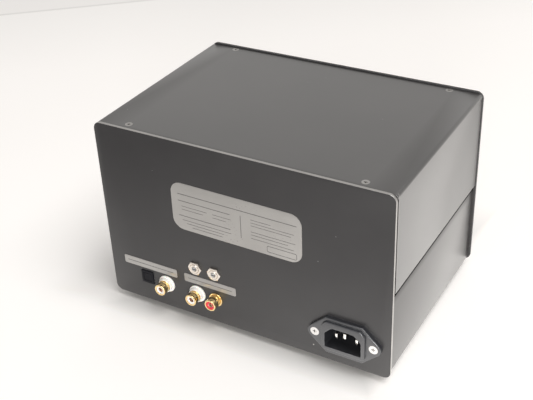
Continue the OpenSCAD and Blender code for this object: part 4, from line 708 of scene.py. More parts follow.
def turn_rings(material, x, z):
    """The fine rings that facing on a lathe leaves around an axis along Y."""
    tree = material.node_tree
    place = axes(tree)
    across = math_node(tree, "SUBTRACT", place["X"], x)
    up = math_node(tree, "SUBTRACT", place["Z"], z)
    squares = [math_node(tree, "MULTIPLY", way, way) for way in (across, up)]
    radius = math_node(tree, "SQRT", math_node(tree, "ADD", *squares))
    rings = noise(tree, 2600.0, 3.0, place=add_node(tree, "CombineXYZ", {"X": radius}).outputs[0])
    tint(tree, ramp(tree, rings, 0.3, 0.7), (0.42, 0.42, 0.42))


turn_rings(spun_aluminium, 0.0, CONTROL_Z * MM)


def build_lens():
    """Clear acrylic that lets the lamps' light through to the dial."""
    material, tree, shader = new_material("clear_acrylic")
    surface = use_group(tree, GRAIN, Scale=300.0, Depth=0.0000004, Roughness=0.03, Spread=0.02)
    tree.links.new(surface["Roughness"], shader.inputs["Roughness"])
    tree.links.new(surface["Normal"], shader.inputs["Normal"])
    shader.inputs["Base Color"].default_value = (0.97, 0.98, 0.98, 1.0)
    shader.inputs["IOR"].default_value = 1.49
    shader.inputs["Transmission Weight"].default_value = 1.0
    ray = add_node(tree, "LightPath").outputs
    passing = math_node(tree, "MAXIMUM", ray["Is Shadow Ray"], ray["Is Diffuse Ray"])
    clear = add_node(tree, "BsdfTransparent", {"Color": (0.93, 0.94, 0.94, 1.0)})
    both = add_node(tree, "MixShader", {0: passing, 1: shader.outputs[0], 2: clear.outputs[0]})
    tree.links.new(both.outputs[0], tree.nodes["Material Output"].inputs["Surface"])
    return material


clear_acrylic = build_lens()

NODE_FINISHES = {
    panel_coat: ["front_panel", "rear_panel"],
    sheet_coat: ["bottom_tray", "top_cover"],
    dull_steel: ["crossbars", "reset_switch", "selector_shaft", "transformer_fixing"],
    zinc_plate: ["case_screws", "inlet_screws"],
    bright_nickel: ["fixing_nuts", "left_trim_spindle", "right_trim_spindle"],
    dark_steel: ["cover_screws"],
    rubber: ["feet"],
    silver_film: ["rating_plate", "label_strips"],
    deep_black: ["optical_input", "optical_shutter"],
    gold_plate: ["digital_jack", "left_input_jack", "right_input_jack"],
    contact_metal: ["jack_contacts"],
    white_nylon: ["white_jack_insulators"],
    red_nylon: ["red_jack_insulator"],
    blue_epoxy: ["left_trim_pot", "right_trim_pot"],
    inlet_moulding: ["mains_inlet"],
    blade_metal: ["inlet_blades"],
    brass: ["selector_switch", "stand_offs", "left_zero_lever", "right_zero_lever"],
    knob_moulding: ["selector_knob"],
    black_moulding: ["power_switch", "power_rocker", "left_meter_case", "right_meter_case",
    "left_meter_bezel",
                     "right_meter_bezel"],
    grey_moulding: ["left_zero_screw", "right_zero_screw"],
    red_cap: ["reset_button"],
    laminate: ["main_board", "input_board"],
    chip_epoxy: ["board_parts"],
    wound_tape: ["transformer"],
    fuse_glass: ["mains_fuse"],
    ribbon_vinyl: ["ribbon_cable"],
    lead_vinyl: ["internal_leads"],
    clear_acrylic: ["left_meter_lens", "right_meter_lens"],
    dial_card: ["left_dial_plate", "right_dial_plate"],
    copper: ["left_moving_coil", "right_moving_coil"],
    pointer_paint: ["left_pointer", "right_pointer"],
    ceramic_magnet: ["meter_magnets"],
    soft_iron: ["movement_frames"],
}
for finish, names in NODE_FINISHES.items():
    for name in names:
        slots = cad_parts[name].data.materials
        slots.clear()
        slots.append(finish)


# Case
def panel(front, thickness):
    """A front or rear panel with rounded corners and chamfered rims."""
    piece = plate((0, PANEL_MID), (PANEL_WIDTH, PANEL_TALL), front, thickness, CORNER, steps=12)
    return soften(piece, 0.4, 2, 50)


def bare_inside(piece):
    """Leaves the rear panel's inner face and its outer rim as bare metal."""
    piece.data.materials.append(bare_aluminium)
    for face in piece.data.polygons:
        x, _, z = face.center / MM
        rim = abs(face.normal.y) < 0.9 and (abs(x) > 99 or abs(z - PANEL_MID) > 61)
        if rim or face.normal.y < -0.9:
            face.material_index = 1


def studs(front, reach, height, xs):
    """Pressed studs on the inside of a panel."""
    return [post(x, height, 1.5, min(front, front + reach), abs(reach), 24) for x in xs]


rear_plate = panel(REAR_IN, REAR - REAR_IN)
cut(rear_plate,
    block((INLET_X - 14.6, 70, INLET_Z - 10.1), (INLET_X + 14.6, 80, INLET_Z + 10.1)),
    block((OPTICAL_X - 5, 70, OPTICAL_Z - 5.1), (OPTICAL_X + 5, 80, OPTICAL_Z + 5.1)),
    drill(DIGITAL_X, JACK_Z, 4.7), drill(LEFT_JACK_X, JACK_Z, 4.7), drill(RIGHT_JACK_X, JACK_Z, 3.2),
    drill(LEFT_TRIM_X, TRIM_Z, 3.2), drill(RIGHT_TRIM_X, TRIM_Z, 3.2),
    drill(INLET_X - INLET_SCREW_REACH, INLET_Z, 1.55), drill(INLET_X + INLET_SCREW_REACH, INLET_Z, 1.55))
rear_studs = studs(REAR_IN, -4.4, STUD_LOW, LOW_STUDS) + studs(REAR_IN, -15.2, STUD_HIGH, HIGH_STUDS)
rear_plate = joined([rear_plate] + rear_studs)
settle(rear_plate, "rear_plate", panel_coat, stands_for=["rear_panel"])
bare_inside(rear_plate)

front_plate = panel(FRONT, FRONT_IN - FRONT)
cut(front_plate,
    *[block((x - 28.2, -80, BOX_Z - 21.7), (x + 28.2, -60, BOX_Z + 21.7)) for x in (-DIAL_X, DIAL_X)],
    block((-86.4, -80, CONTROL_Z - 9.6), (-73.6, -60, CONTROL_Z + 9.6)),
    drill(0, CONTROL_Z, 4.55), drill(RESET_X, CONTROL_Z, 4.05),
    *[drill(x + dx, DIAL_Z + dz, 1.55) for x in (-DIAL_X, DIAL_X) for dx, dz in DIAL_FIXINGS])
front_studs = studs(FRONT_IN, 4.4, STUD_LOW, LOW_STUDS) + studs(FRONT_IN, 11.2, STUD_HIGH, HIGH_STUDS)
front_plate = joined([front_plate] + front_studs)
settle(front_plate, "front_plate", panel_coat, stands_for=["front_panel"])


def bent_sheet(half_width, low, high, open_below):
    """A U-shaped sheet with rounded bends, open at its ends and above or below."""
    web, rim = (high, low) if open_below else (low, high)
    piece = block((-half_width, SHEET_FRONT, low), (half_width, SHEET_REAR, high))
    round_off(piece, 2.2, 8, lambda e: along(e, 1) and abs(middle(e).z - web) < HAIR)
    open_mesh(piece)
    pick(piece, "FACE", lambda f: abs(f.normal.y) > 0.99 or (
        abs(f.normal.z) > 0.99 and abs(f.calc_center_median().z - rim) < HAIR))
    bpy.ops.mesh.delete(type="FACE")
    close_mesh()
    hold(piece)
    wall = piece.modifiers.new("wall", "SOLIDIFY")
    wall.thickness = SHEET
    wall.offset = -1
    wall.use_even_offset = True
    bpy.ops.object.modifier_apply(modifier=wall.name)
    return piece


def skirt_notch(side):
    """A tool that ends a skirt short of the rear panel, on the side -1 or 1."""
    low, high = sorted((side * 103.25, side * 106))
    return block((low, SKIRT_REAR, SKIRT - 1), (high, REAR_IN, 134))


COVER_SCREWS = [(sx * COVER_SCREW_X, y) for sx in (-1, 1) for y in (FRONT + 5, REAR - 8.4)]
SCREW_HOLE = [(0, -3), (1.5, -3), (1.5, -1.0), (2.55, 0.05), (2.55, 1), (0, 1)]
cover = bent_sheet(COVER_HALF, SKIRT, COVER_TOP, True)
cut(cover, skirt_notch(-1), skirt_notch(1))
soften(cover, 0.15, 2, 60)
cut(cover, *[turned((x, y, COVER_TOP), SCREW_HOLE, "Z", 40, closed=False) for x, y in COVER_SCREWS])
settle(cover, "cover", sheet_coat, stands_for=["top_cover"])

FOOT_PLACES = [(sx * FOOT_X, y) for sx in (-1, 1) for y in (FRONT + 18, REAR - 22)]
tray = soften(bent_sheet(TRAY_HALF, 6.0, 79.8, False), 0.15, 2, 60)
tray = joined([
    tray,
    block((-97.2, FRONT_IN, 6.0), (97.2, SHEET_FRONT, 7.2)),
    block((-97.2, SHEET_REAR, 6.0), (97.2, REAR_IN, 7.2)),
    block((-97.2, FRONT_IN, 7.2), (97.2, FRONT_IN + SHEET, 16.0)),
    block((-97.2, REAR_IN - SHEET, 7.2), (97.2, REAR_IN, 16.0)),
])
settle(tray, "tray", seam_coat, stands_for=["bottom_tray"])


def cross_cutter(x, y, top, size, depth, axis="Z"):
    """A tool for a cross recess in a screw head, tapering to its bottom."""
    tools = []
    for turn in (0, 90):
        piece = block((-size / 2, -size / 9, -depth), (size / 2, size / 9, 1))
        open_mesh(piece)
        pick(piece, "FACE", lambda f: f.normal.z < -0.9)
        bpy.ops.transform.resize(value=(0.45, 0.8, 1), center_override=(0, 0, -depth))
        close_mesh()
        piece.data.transform(Matrix.Rotation(math.radians(turn), 4, "Z"))
        tools.append(piece)
    tool = combine(tools[0], tools[1], "UNION")
    if axis == "Y":
        tool.data.transform(Matrix.Rotation(math.radians(-90), 4, "X"))
    tool.data.transform(Matrix.Translation(Vector((x, y, top))))
    return tool


x0, y0 = COVER_SCREWS[0]
screw = turned((x0, y0, COVER_TOP), [
    (0, -7.2), (1.3, -7.2), (1.45, -7.0), (1.45, -1.0), (2.42, -0.1), (2.48, 0), (2.3, 0.0), (1.6, 0.0),
    (0, 0.0)],
    "Z", 40, closed=False)
tidy(cut(screw, cross_cutter(x0, y0, COVER_TOP, 3.1, 1.1)), 0.01)
screws = repeated(screw, [(x - x0, y - y0, 0) for x, y in COVER_SCREWS[1:]])
settle(screws, "cover_screw_set", dark_steel, stands_for=["cover_screws"])

x0, y0 = FOOT_PLACES[0]
foot = turned((x0, y0, 0), [
    (1.55, 3), (3.4, 3), (3.4, 0.3), (3.7, 0), (7.6, 0), (7.95, 0.12), (8.1, 0.5), (8.95, 5.5), (8.9, 5.9),
    (8.75, 6),
    (1.55, 6)], "Z", 56)
feet = repeated(foot, [(x - x0, y - y0, 0) for x, y in FOOT_PLACES[1:]])
settle(feet, "rubber_feet", rubber, stands_for=["feet"])


# Nuts
def nut(x, z, flats, front, thickness, bore, steps=40):
    """A six-sided nut with turned corners and an eased bore."""
    piece = six_sided(x, z, flats, front, thickness)
    corner = flats / 2 / math.cos(math.pi / 6) + 0.02
    ease = corner - flats / 2 * 0.98
    back = front + thickness
    lens = turned((x, 0, z), [
        (0, front), (corner - ease, front), (corner, front + ease * 0.6), (corner, back - ease * 0.6),
        (corner - ease, back), (0, back)], steps=steps, closed=False)
    combine(piece, lens, "INTERSECT")
    tool = turned((x, 0, z), [
        (0, front - 1), (bore + 0.35, front - 1), (bore + 0.35, front), (bore, front + 0.35),
        (bore, back - 0.35),
        (bore + 0.35, back), (bore + 0.35, back + 1), (0, back + 1)], steps=steps, closed=False)
    return tidy(cut(piece, tool), 0.01)


small = nut(0, 0, 5.5, 0, NUT_TALL, 1.52, 24)
nut_places = [(x, y, STUD_LOW) for x in LOW_STUDS for y in (FRONT_IN + SHEET, REAR_IN - SHEET - NUT_TALL)]
nut_places += [(x, y, STUD_HIGH) for x in HIGH_STUDS for y in (FRONT_IN + 8, REAR_IN - 14.4)]
nut_places += [(INLET_X + dx, REAR_IN - NUT_TALL, INLET_Z) for dx in (-INLET_SCREW_REACH, INLET_SCREW_REACH)]
nut_places += [(x + dx, FRONT_IN, DIAL_Z + dz) for x in (-DIAL_X, DIAL_X) for dx, dz in DIAL_FIXINGS]
nuts = [copy_of(small, Matrix.Translation(Vector(place))) for place in nut_places]
flat_nut = copy_of(small, Matrix.Rotation(math.radians(90), 4, "X"))
nuts += [copy_of(flat_nut, Matrix.Translation(Vector((x, y, 9.6)))) for x, y in FOOT_PLACES]
for spare in (small, flat_nut):
    bpy.data.objects.remove(spare)
for x, thick in ((DIGITAL_X, 1.5), (LEFT_JACK_X, 1.5), (RIGHT_JACK_X, 0)):
    nuts.append(nut(x, JACK_Z, 9, REAR_IN - thick - NUT_TALL, NUT_TALL, 3.17))
nuts += [nut(x, TRIM_Z, 9, REAR, 1.8, 3.17) for x in (LEFT_TRIM_X, RIGHT_TRIM_X)]
nuts.append(nut(0, CONTROL_Z, 12, FRONT - 2, 2, 4.52))
nuts.append(nut(RESET_X, CONTROL_Z, 11, FRONT - 2, 2, 4.02))
settle(joined(nuts), "nut_set", bright_nickel, stands_for=["fixing_nuts"])


# Rear labels
def label(centre, size, corner, steps):
    """A thin label with an eased rim, on the rear panel."""
    piece = plate(centre, size, REAR, 0.3, corner, steps)
    return soften(piece, 0.08, 2, 50)


plate_turn = turn_about((RATING_X, 0, RATING_Z), "Y", -0.5)
rating = label((RATING_X, RATING_Z), (94, 35), 8, 16)
rating.data.transform(plate_turn)
settle(rating, "rating_label", silver_film, stands_for=["rating_plate"])
strips = joined([label((72.2, STRIP_Z), (43.2, 6.4), 1, 6), label((24.5, STRIP_Z), (40.1, 6.4), 1, 6)])
settle(strips, "input_labels", silver_film, stands_for=["label_strips"])

# Optical input
optical = block((OPTICAL_X - 6.1, 64.65, OPTICAL_Z - 6.2), (OPTICAL_X + 6.1, REAR_IN, OPTICAL_Z + 6.2))
snout = block((OPTICAL_X - 4.9, 66, OPTICAL_Z - 5), (OPTICAL_X + 4.9, REAR + 0.9, OPTICAL_Z + 5))
combine(optical, snout, "UNION")
soften(optical, 0.2, 2, 60)
cut(optical,
    block((OPTICAL_X - 3.2, REAR - 8.1, OPTICAL_Z - 3.2), (OPTICAL_X + 3.2, REAR + 2, OPTICAL_Z + 3.2)))
settle(optical, "optical_socket", deep_black, stands_for=["optical_input"])


# Jacks
def jack(x, base, flange):
    """A plated phono barrel with its grooves, its hollow mouth and its threaded tail."""
    tail = base + 2.2 + 1.5 + 2.4 + 1
    return turned((x, REAR + base, JACK_Z), [
        (2.1, -tail), (3.0, -tail), (3.15, -tail + 0.2), (3.15, 0), (flange - 0.1, 0), (flange, 0.15),
        (flange, 0.9),
        (flange - 0.12, 1.12), (flange - 0.3, 1.2), (3.85, 1.2), (3.85, 1.8), (4.05, 1.85), (4.15, 2.0),
        (4.15, 2.6),
        (4.05, 2.75), (3.85, 2.8), (3.85, 3.4), (4.05, 3.45), (4.15, 3.6), (4.15, 7.9), (4.08, 8.15),
        (3.9, 8.3),
        (3.35, 8.3), (3.15, 8.2), (3.1, 8.0), (3.1, 1.6), (2.1, 1.6)], steps=64)


for name, x, base, flange in (("digital_jack", DIGITAL_X, 1, 4.3), ("left_input_jack", LEFT_JACK_X, 1, 4.3),
                              ("right_input_jack", RIGHT_JACK_X, 0, 5.1)):
    settle(jack(x, base, flange), name.replace("jack", "barrel"), gold_plate, stands_for=[name])


def insert(x, base):
    """The insulator in a barrel's mouth, dished round the contact."""
    return turned((x, REAR + base, JACK_Z), [
        (0.6, -base - 7.5), (2.08, -base - 7.5), (2.08, 1.6), (3.08, 1.6), (3.08, 7.75), (2.9, 7.9),
        (2.3, 7.9),
        (2.0, 7.8), (1.74, 7.5), (1.72, 7.3), (2.02, 7.3), (2.02, 2.2), (0.6, 2.2)], steps=48)


def washer_pair(x):
    """The stepped white washer outside the panel, and the flat one inside it."""
    outer = turned((x, REAR, JACK_Z), [
        (3.15, -2.15), (4.65, -2.15), (4.65, 0), (6.1, 0), (6.2, 0.1), (6.2, 0.8), (6.05, 1.0), (5.05, 1.0),
        (5.0, 1.1),
        (5.0, 3.35), (4.9, 3.55), (4.75, 3.6), (4.35, 3.6), (4.35, 1.0), (3.15, 1.0)], steps=64)
    flat = [(3.2, -1.5), (6.1, -1.5), (6.2, -1.4), (6.2, -0.1), (6.1, 0), (3.2, 0)]
    inner = turned((x, REAR_IN, JACK_Z), flat)
    return [outer, inner]


whites = [insert(x, 1) for x in (DIGITAL_X, LEFT_JACK_X)]
for x in (DIGITAL_X, LEFT_JACK_X):
    whites += washer_pair(x)
settle(joined(whites), "white_insulators", white_nylon, stands_for=["white_jack_insulators"])
settle(insert(RIGHT_JACK_X, 0), "red_insulator", red_nylon, stands_for=["red_jack_insulator"])

contacts = []
for x, base in ((DIGITAL_X, 1), (LEFT_JACK_X, 1), (RIGHT_JACK_X, 0)):
    contacts.append(turned((x, REAR + base, JACK_Z), [
        (0, -base - 14), (0.6, -base - 14), (0.6, 2.2), (2.0, 2.2), (2.0, 7.2), (1.9, 7.3), (1.72, 7.3),
        (1.62, 7.2),
        (1.62, 3.2), (0, 3.2)], steps=40, closed=False))
settle(joined(contacts), "contact_sleeves", contact_metal, stands_for=["jack_contacts"])


# Level trims
for side, x in (("left", LEFT_TRIM_X), ("right", RIGHT_TRIM_X)):
    bushing = turned((x, REAR_IN - 9, TRIM_Z), [
        (0, 0), (5.6, 0), (5.8, 0.2), (5.8, 8.8), (5.6, 9.0), (3.15, 9.0), (3.15, 13.0), (3.0, 13.3),
        (1.95, 13.3),
        (1.65, 13.0), (1.65, 1), (0, 1)], steps=56, closed=False)
    settle(bushing, side + "_trim_body", bright_nickel, stands_for=[side + "_trim_pot"])
    spindle = turned((x, 0, TRIM_Z), [
        (0, 65.75), (1.6, 65.75), (1.6, 78.05), (1.5, 78.2), (1.3, 78.25), (0, 78.25)], steps=40,
        closed=False)
    cut(spindle, block((x - 3, 77.25, TRIM_Z - 0.36), (x + 3, 79, TRIM_Z + 0.36)))
    settle(spindle, side + "_trim_screw", dull_steel, body=side + "_trim",
           stands_for=[side + "_trim_spindle"])

# Mains inlet
INLET_FACE = REAR + 3
COLLAR_FACE = REAR + 4.7
SOCKET_FLOOR = COLLAR_FACE - 16.5


def socket_corners(grow):
    """Outline of the inlet's opening, with its two cut corners at the top."""
    w, h = 12.4 + grow, 7.9 + grow
    c = 5 + (2 - math.sqrt(2)) * grow
    corners = [(-w, -h), (w, -h), (w, h - c), (w - c, h), (c - w, h), (-w, h - c)]
    return [(INLET_X + a, INLET_Z + b) for a, b in corners]


ends = [turned((INLET_X + dx, REAR, INLET_Z), [(0, 0), (5, 0), (5, 3), (0, 3)], steps=64, closed=False)
        for dx in (-INLET_SCREW_REACH, INLET_SCREW_REACH)]
trunk = block((INLET_X - 12.5, REAR, INLET_Z - 13.7), (INLET_X + 12.5, INLET_FACE, INLET_Z + 13.7))
flange = joined([trunk] + ends)
open_mesh(flange)
bpy.ops.mesh.select_all(action="SELECT")
bpy.ops.mesh.convex_hull()
bpy.ops.mesh.select_all(action="SELECT")
bpy.ops.mesh.dissolve_limited(angle_limit=math.radians(1))
close_mesh()
round_off(flange, 0.5, 3, lambda e: abs(middle(e).y - INLET_FACE) < HAIR and not along(e, 1))
w, top, low = 14.8, 11.6, -10.3
collar_points = [(-w, low), (w, low), (w, top - 3), (w - 3, top), (3 - w, top), (-w, top - 3)]
collar = outlined([(INLET_X + a, INLET_Z + b) for a, b in collar_points], INLET_FACE - 1, 2.7)
round_off(collar, 2.2, 6, lambda e: along(e, 1) and middle(e).z < INLET_Z + low + 1)
round_off(collar, 1.2, 4, lambda e: along(e, 1) and middle(e).z > INLET_Z + 5)
round_off(collar, 0.6, 4, lambda e: abs(middle(e).y - COLLAR_FACE) < HAIR)
combine(flange, collar, "UNION")
combine(flange, outlined(socket_corners(2), REAR - 17, 18), "UNION")
mouth = outlined(socket_corners(0), SOCKET_FLOOR, 20)
round_off(mouth, 0.9, 4, lambda e: along(e, 1))
cut(flange, mouth)
sunk_hole = [(0, -5), (1.55, -5), (1.55, -1.5), (3.02, 0), (3.02, 1), (0, 1)]
cut(flange, *[turned((INLET_X + dx, INLET_FACE, INLET_Z), sunk_hole, steps=48, closed=False)
              for dx in (-INLET_SCREW_REACH, INLET_SCREW_REACH)])
settle(flange, "inlet_body", inlet_moulding, stands_for=["mains_inlet"])


def blade(dx, dz, tip):
    """One blade with a bevelled tip and its solder tab."""
    x, z = INLET_X + dx, INLET_Z + dz
    piece = block((x - 1, REAR - 17, z - 2), (x + 1, tip, z + 2))
    open_mesh(piece)
    pick(piece, "FACE", lambda f: f.normal.y > 0.9)
    bpy.ops.mesh.bevel(offset=0.5, segments=2, affect="EDGES")
    close_mesh()
    tab = block((x - 0.4, REAR - 25, z - 2), (x + 0.4, REAR - 17, z + 2))
    return joined([soften(piece, 0.12, 2, 50), tab])


blade_places = ((-7, -2, SOCKET_FLOOR + 11), (7, -2, SOCKET_FLOOR + 11), (0, 2, SOCKET_FLOOR + 13.5))
blades = joined([blade(*place) for place in blade_places])
settle(blades, "inlet_blade_set", blade_metal, stands_for=["inlet_blades"])

screw_x = INLET_X - INLET_SCREW_REACH
screw = turned((screw_x, INLET_FACE, INLET_Z), [
    (0, -8.4), (1.3, -8.4), (1.5, -8.2), (1.5, -1.5), (2.95, -0.08), (2.98, 0.0), (2.6, 0.0), (0, 0.0)],
    steps=48,
    closed=False)
tidy(cut(screw, cross_cutter(screw_x, INLET_FACE, INLET_Z, 3.3, 1.2, "Y")), 0.01)
screws = repeated(screw, [(2 * INLET_SCREW_REACH, 0, 0)])
settle(screws, "inlet_screw_pair", zinc_plate, stands_for=["inlet_screws"])

# Small chips in the rear panel's coat
chips = [block((-48.6, REAR - 0.9, PANEL_HIGH - 0.25), (-47.4, REAR - 0.2, PANEL_HIGH + 0.02)),
         block((-46.8, REAR - 0.6, PANEL_HIGH - 0.3), (-46.3, REAR - 0.1, PANEL_HIGH - 0.02)),
         post(-52, 13, 0.45, REAR, 0.04, 9), post(61.5, 112.4, 0.18, REAR, 0.03, 7)]
settle(joined(chips), "coat_chips", bare_aluminium)

# Print on the rating plate: plain rules and an empty box, with no words
INK = 0.05


def rear_ink(x0, x1, z0, z1):
    """A patch of ink on the rating plate."""
    return block((x0, REAR + 0.3, z0), (x1, REAR + 0.3 + INK, z1))


def rule(x0, x1, z, width=0.3):
    """A level rule on the rating plate."""
    return rear_ink(x0, x1, z - width / 2, z + width / 2)


rules = [rule(-42, 43.5, 100.2, 0.5), rear_ink(-2.9, -2.5, 80.2, 96.5)]
for z in (95.2, 84.1):
    rules.append(rule(5, 43.5, z, 0.45))
for z, x0, x1 in ((91.4, 22, 41), (91.4, 4.5, 18), (89.0, 25, 41), (89.0, 8, 18), (81.0, 4.5, 41),
                  (78.8, 10, 38),
                  (76.6, 11, 34)):
    rules.append(rule(x0, x1, z))
for z, x1 in ((95.8, -24), (93.6, -40), (91.5, -38), (87.0, -41), (84.8, -36), (82.2, -40)):
    rules.append(rule(x1, -10, z))
box_frame = plate((-31.5, 77.8), (21, 4.6), REAR + 0.3, INK, 1.2, 6)
cut(box_frame, plate((-31.5, 77.8), (20.3, 3.9), REAR, 1, 0.9, 6))
rules = joined(rules + [box_frame])
rules.data.transform(plate_turn)
settle(rules, "rating_rules", print_grey)
strip_rules = joined([rule(53.5, 90.9, STRIP_Z, 0.5), rule(7.5, 41.5, STRIP_Z, 0.5)])
settle(strip_rules, "strip_rules", print_grey)

# Dials
BEZEL_FRONT = FRONT - 10.5
DIAL_FACE = FRONT - 2.6
SWEEP = 92.0
FIGURE_OUT = 48.2
FIGURE_SIZE = 4.6


def bezel(x):
    """A dial's frame: eased front edges, a chamfered window, the zero screw's hole and a hollow back."""
    piece = plate((x, DIAL_Z), (92, 76), BEZEL_FRONT, 10.5, 3, 8)
    round_off(piece, 0.9, 4, lambda e: middle(e).y < BEZEL_FRONT + HAIR and not along(e, 1))
    cut(piece, block((x - 43.8, BEZEL_FRONT + 2.2, DIAL_Z - 35.8), (x + 43.8, FRONT + 1, DIAL_Z + 35.8)))
    cut(piece, block((x - 41, BEZEL_FRONT - 1, WINDOW_Z - 25), (x + 41, BEZEL_FRONT + 4, WINDOW_Z + 25)),
        drill(x, ZERO_Z, 3.55, 48))
    tidy(piece)
    return round_off(piece, 0.8, 1, lambda e: middle(e).y < BEZEL_FRONT + HAIR and not along(e, 1) and (
        abs(middle(e).x - x) < 41.01 and abs(middle(e).z - WINDOW_Z) < 25.01) and (
        abs(abs(middle(e).x - x) - 41) < HAIR or abs(abs(middle(e).z - WINDOW_Z) - 25) < HAIR))


def dial_plate(x):
    """The printed card's backing plate, notched round the movement."""
    piece = block((x - 42.25, DIAL_FACE, DIAL_Z - 34.25), (x + 42.25, FRONT - 2, DIAL_Z + 34.25))
    cut(piece, block((x - 18.3, FRONT - 5, DIAL_Z - 36), (x + 18.3, FRONT, PIVOT_Z + 3)),
        *[drill(x + dx, DIAL_Z + dz, 1.05, 24) for dx, dz in DIAL_FIXINGS])
    return piece


def mark(x, low, high, width):
    """One printed mark, drawn upright over the pivot."""
    return block((x - width / 2, DIAL_FACE - INK, PIVOT_Z + low), (x + width / 2, DIAL_FACE, PIVOT_Z + high))


def band(x, low, high, start, end, steps=24):
    """A printed band round the pivot between two radii and two angles, in degrees from upright."""
    angles = [math.radians(start + (end - start) * i / steps) for i in range(steps + 1)]
    outer = [(x + high * math.sin(a), PIVOT_Z + high * math.cos(a)) for a in angles]
    inner = [(x + low * math.sin(a), PIVOT_Z + low * math.cos(a)) for a in reversed(angles)]
    return outlined(outer + inner, DIAL_FACE - INK, INK)


def figure(text, size, place, turn=0.0, depth=INK):
    """Printed figures on a dial or on the front, read from the front."""
    deselect()
    bpy.ops.object.text_add()
    piece = bpy.context.active_object
    piece.data.body = text
    piece.data.size = size
    piece.data.align_x = "CENTER"
    piece.data.align_y = "CENTER"
    piece.data.extrude = depth / 2
    bpy.ops.object.convert(target="MESH")
    piece = bpy.context.active_object
    lean = Matrix.Rotation(math.radians(turn), 4, "Y") @ Matrix.Rotation(math.radians(90), 4, "X")
    piece.data.transform(Matrix.Translation(Vector(place)) @ lean)
    tidy(piece)
    return piece


def scale_print(x, figures, parts):
    """A dial's marks and figures. parts is how many spaces lie between two figures."""
    spaces = len(figures) - 1
    step = SWEEP / spaces
    long_mark = mark(x, 40, 44.4, 0.7)
    short_mark = mark(x, 40, 42.6, 0.35)
    printed = [band(x, 39.6, 40.05, -SWEEP / 2, SWEEP / 2, 48)]
    for i, text in enumerate(figures):
        lean = -SWEEP / 2 + i * step
        printed.append(copy_of(long_mark, turn_about((x, 0, PIVOT_Z), "Y", lean)))
        a = math.radians(lean)
        place = (x + FIGURE_OUT * math.sin(a), DIAL_FACE - INK / 2, PIVOT_Z + FIGURE_OUT * math.cos(a))
        printed.append(figure(text, FIGURE_SIZE, place, lean))
        if i < spaces:
            for j in range(1, parts):
                printed.append(copy_of(short_mark, turn_about((x, 0, PIVOT_Z), "Y", lean + step * j / parts)))
    for spare in (long_mark, short_mark):
        bpy.data.objects.remove(spare)
    return joined(printed)


def pointer(x):
    """A dial's pointer with its tail, its two balance arms and its hub, at rest at the scale's left end."""
    outline = [(-0.8, -8), (-0.8, -0.8), (-8, -0.8), (-8, 0.8), (-0.8, 0.8), (-0.25, 42), (0, 43),
               (0.25, 42), (0.8, 0.8), (8, 0.8), (8, -0.8), (0.8, -0.8), (0.8, -8)]
    needle = outlined([(x + a, PIVOT_Z + b) for a, b in outline], FRONT - 4.4, 0.4)
    rim = [(0, -4.5), (2.1, -4.5), (2.2, -4.4), (2.2, -4.0), (2.1, -3.9), (0, -3.9)]
    combine(needle, turned((x, FRONT, PIVOT_Z), rim, steps=32, closed=False), "UNION")
    bore = [(0, -6), (0.9, -6), (0.9, -3), (0, -3)]
    cut(needle, turned((x, FRONT, PIVOT_Z), bore, steps=24, closed=False))
    needle.data.transform(turn_about((x, 0, PIVOT_Z), "Y", -REST_LEAN))
    return needle


def zero_screw(x):
    """The slotted zero screw with its flange and its eccentric pin."""
    piece = turned((x, FRONT, ZERO_Z), [
        (0, -10.8), (3.2, -10.8), (3.4, -10.72), (3.5, -10.5), (3.5, -8.1), (4.3, -8.1), (4.3, -7.5),
        (0, -7.5)], steps=48, closed=False)
    cut(piece, block((x - 4.5, FRONT - 12, ZERO_Z - 0.5), (x + 4.5, FRONT - 9.8, ZERO_Z + 0.5)))
    return joined([piece, post(x, ZERO_Z - 1.2, 0.5, FRONT - 7.5, 1.35, 16)])


for side, x in (("left", -DIAL_X), ("right", DIAL_X)):
    settle(bezel(x), side + "_bezel", bezel_moulding, stands_for=[side + "_meter_bezel"])
    lens = block((x - 42, BEZEL_FRONT + 2.2, WINDOW_Z - 26), (x + 42, BEZEL_FRONT + 3.8, WINDOW_Z + 26))
    soften(lens, 0.15, 2, 50)
    settle(lens, side + "_lens", clear_acrylic, stands_for=[side + "_meter_lens"])
    settle(dial_plate(x), side + "_scale_plate", dial_card, stands_for=[side + "_dial_plate"])
    settle(tidy(pointer(x), 0.01), side + "_needle", pointer_paint, body=side + "_movement",
           stands_for=[side + "_pointer"])
    settle(zero_screw(x), side + "_zero_adjuster", grey_moulding, body=side + "_zero_screw_body",
           stands_for=[side + "_zero_screw"])

left_print = scale_print(-DIAL_X, ["1", "2", "3", "4", "5", "6", "7"], 4)
right_print = scale_print(DIAL_X, ["-18", "-15", "-12", "-9", "-6", "-3", "0", "+3", "+6", "+9"], 3)
for side, piece in (("left", left_print), ("right", right_print)):
    settle(piece, side + "_scale_print", print_black)
red_band = band(-DIAL_X, 37.4, 39.2, SWEEP / 3, SWEEP / 2)
settle(red_band, "left_scale_band", print_red)
green_band = band(DIAL_X, 37.4, 39.2, -SWEEP / 2 + SWEEP * 5.5 / 9, -SWEEP / 2 + SWEEP * 6.5 / 9)
settle(green_band, "right_scale_band", print_green)

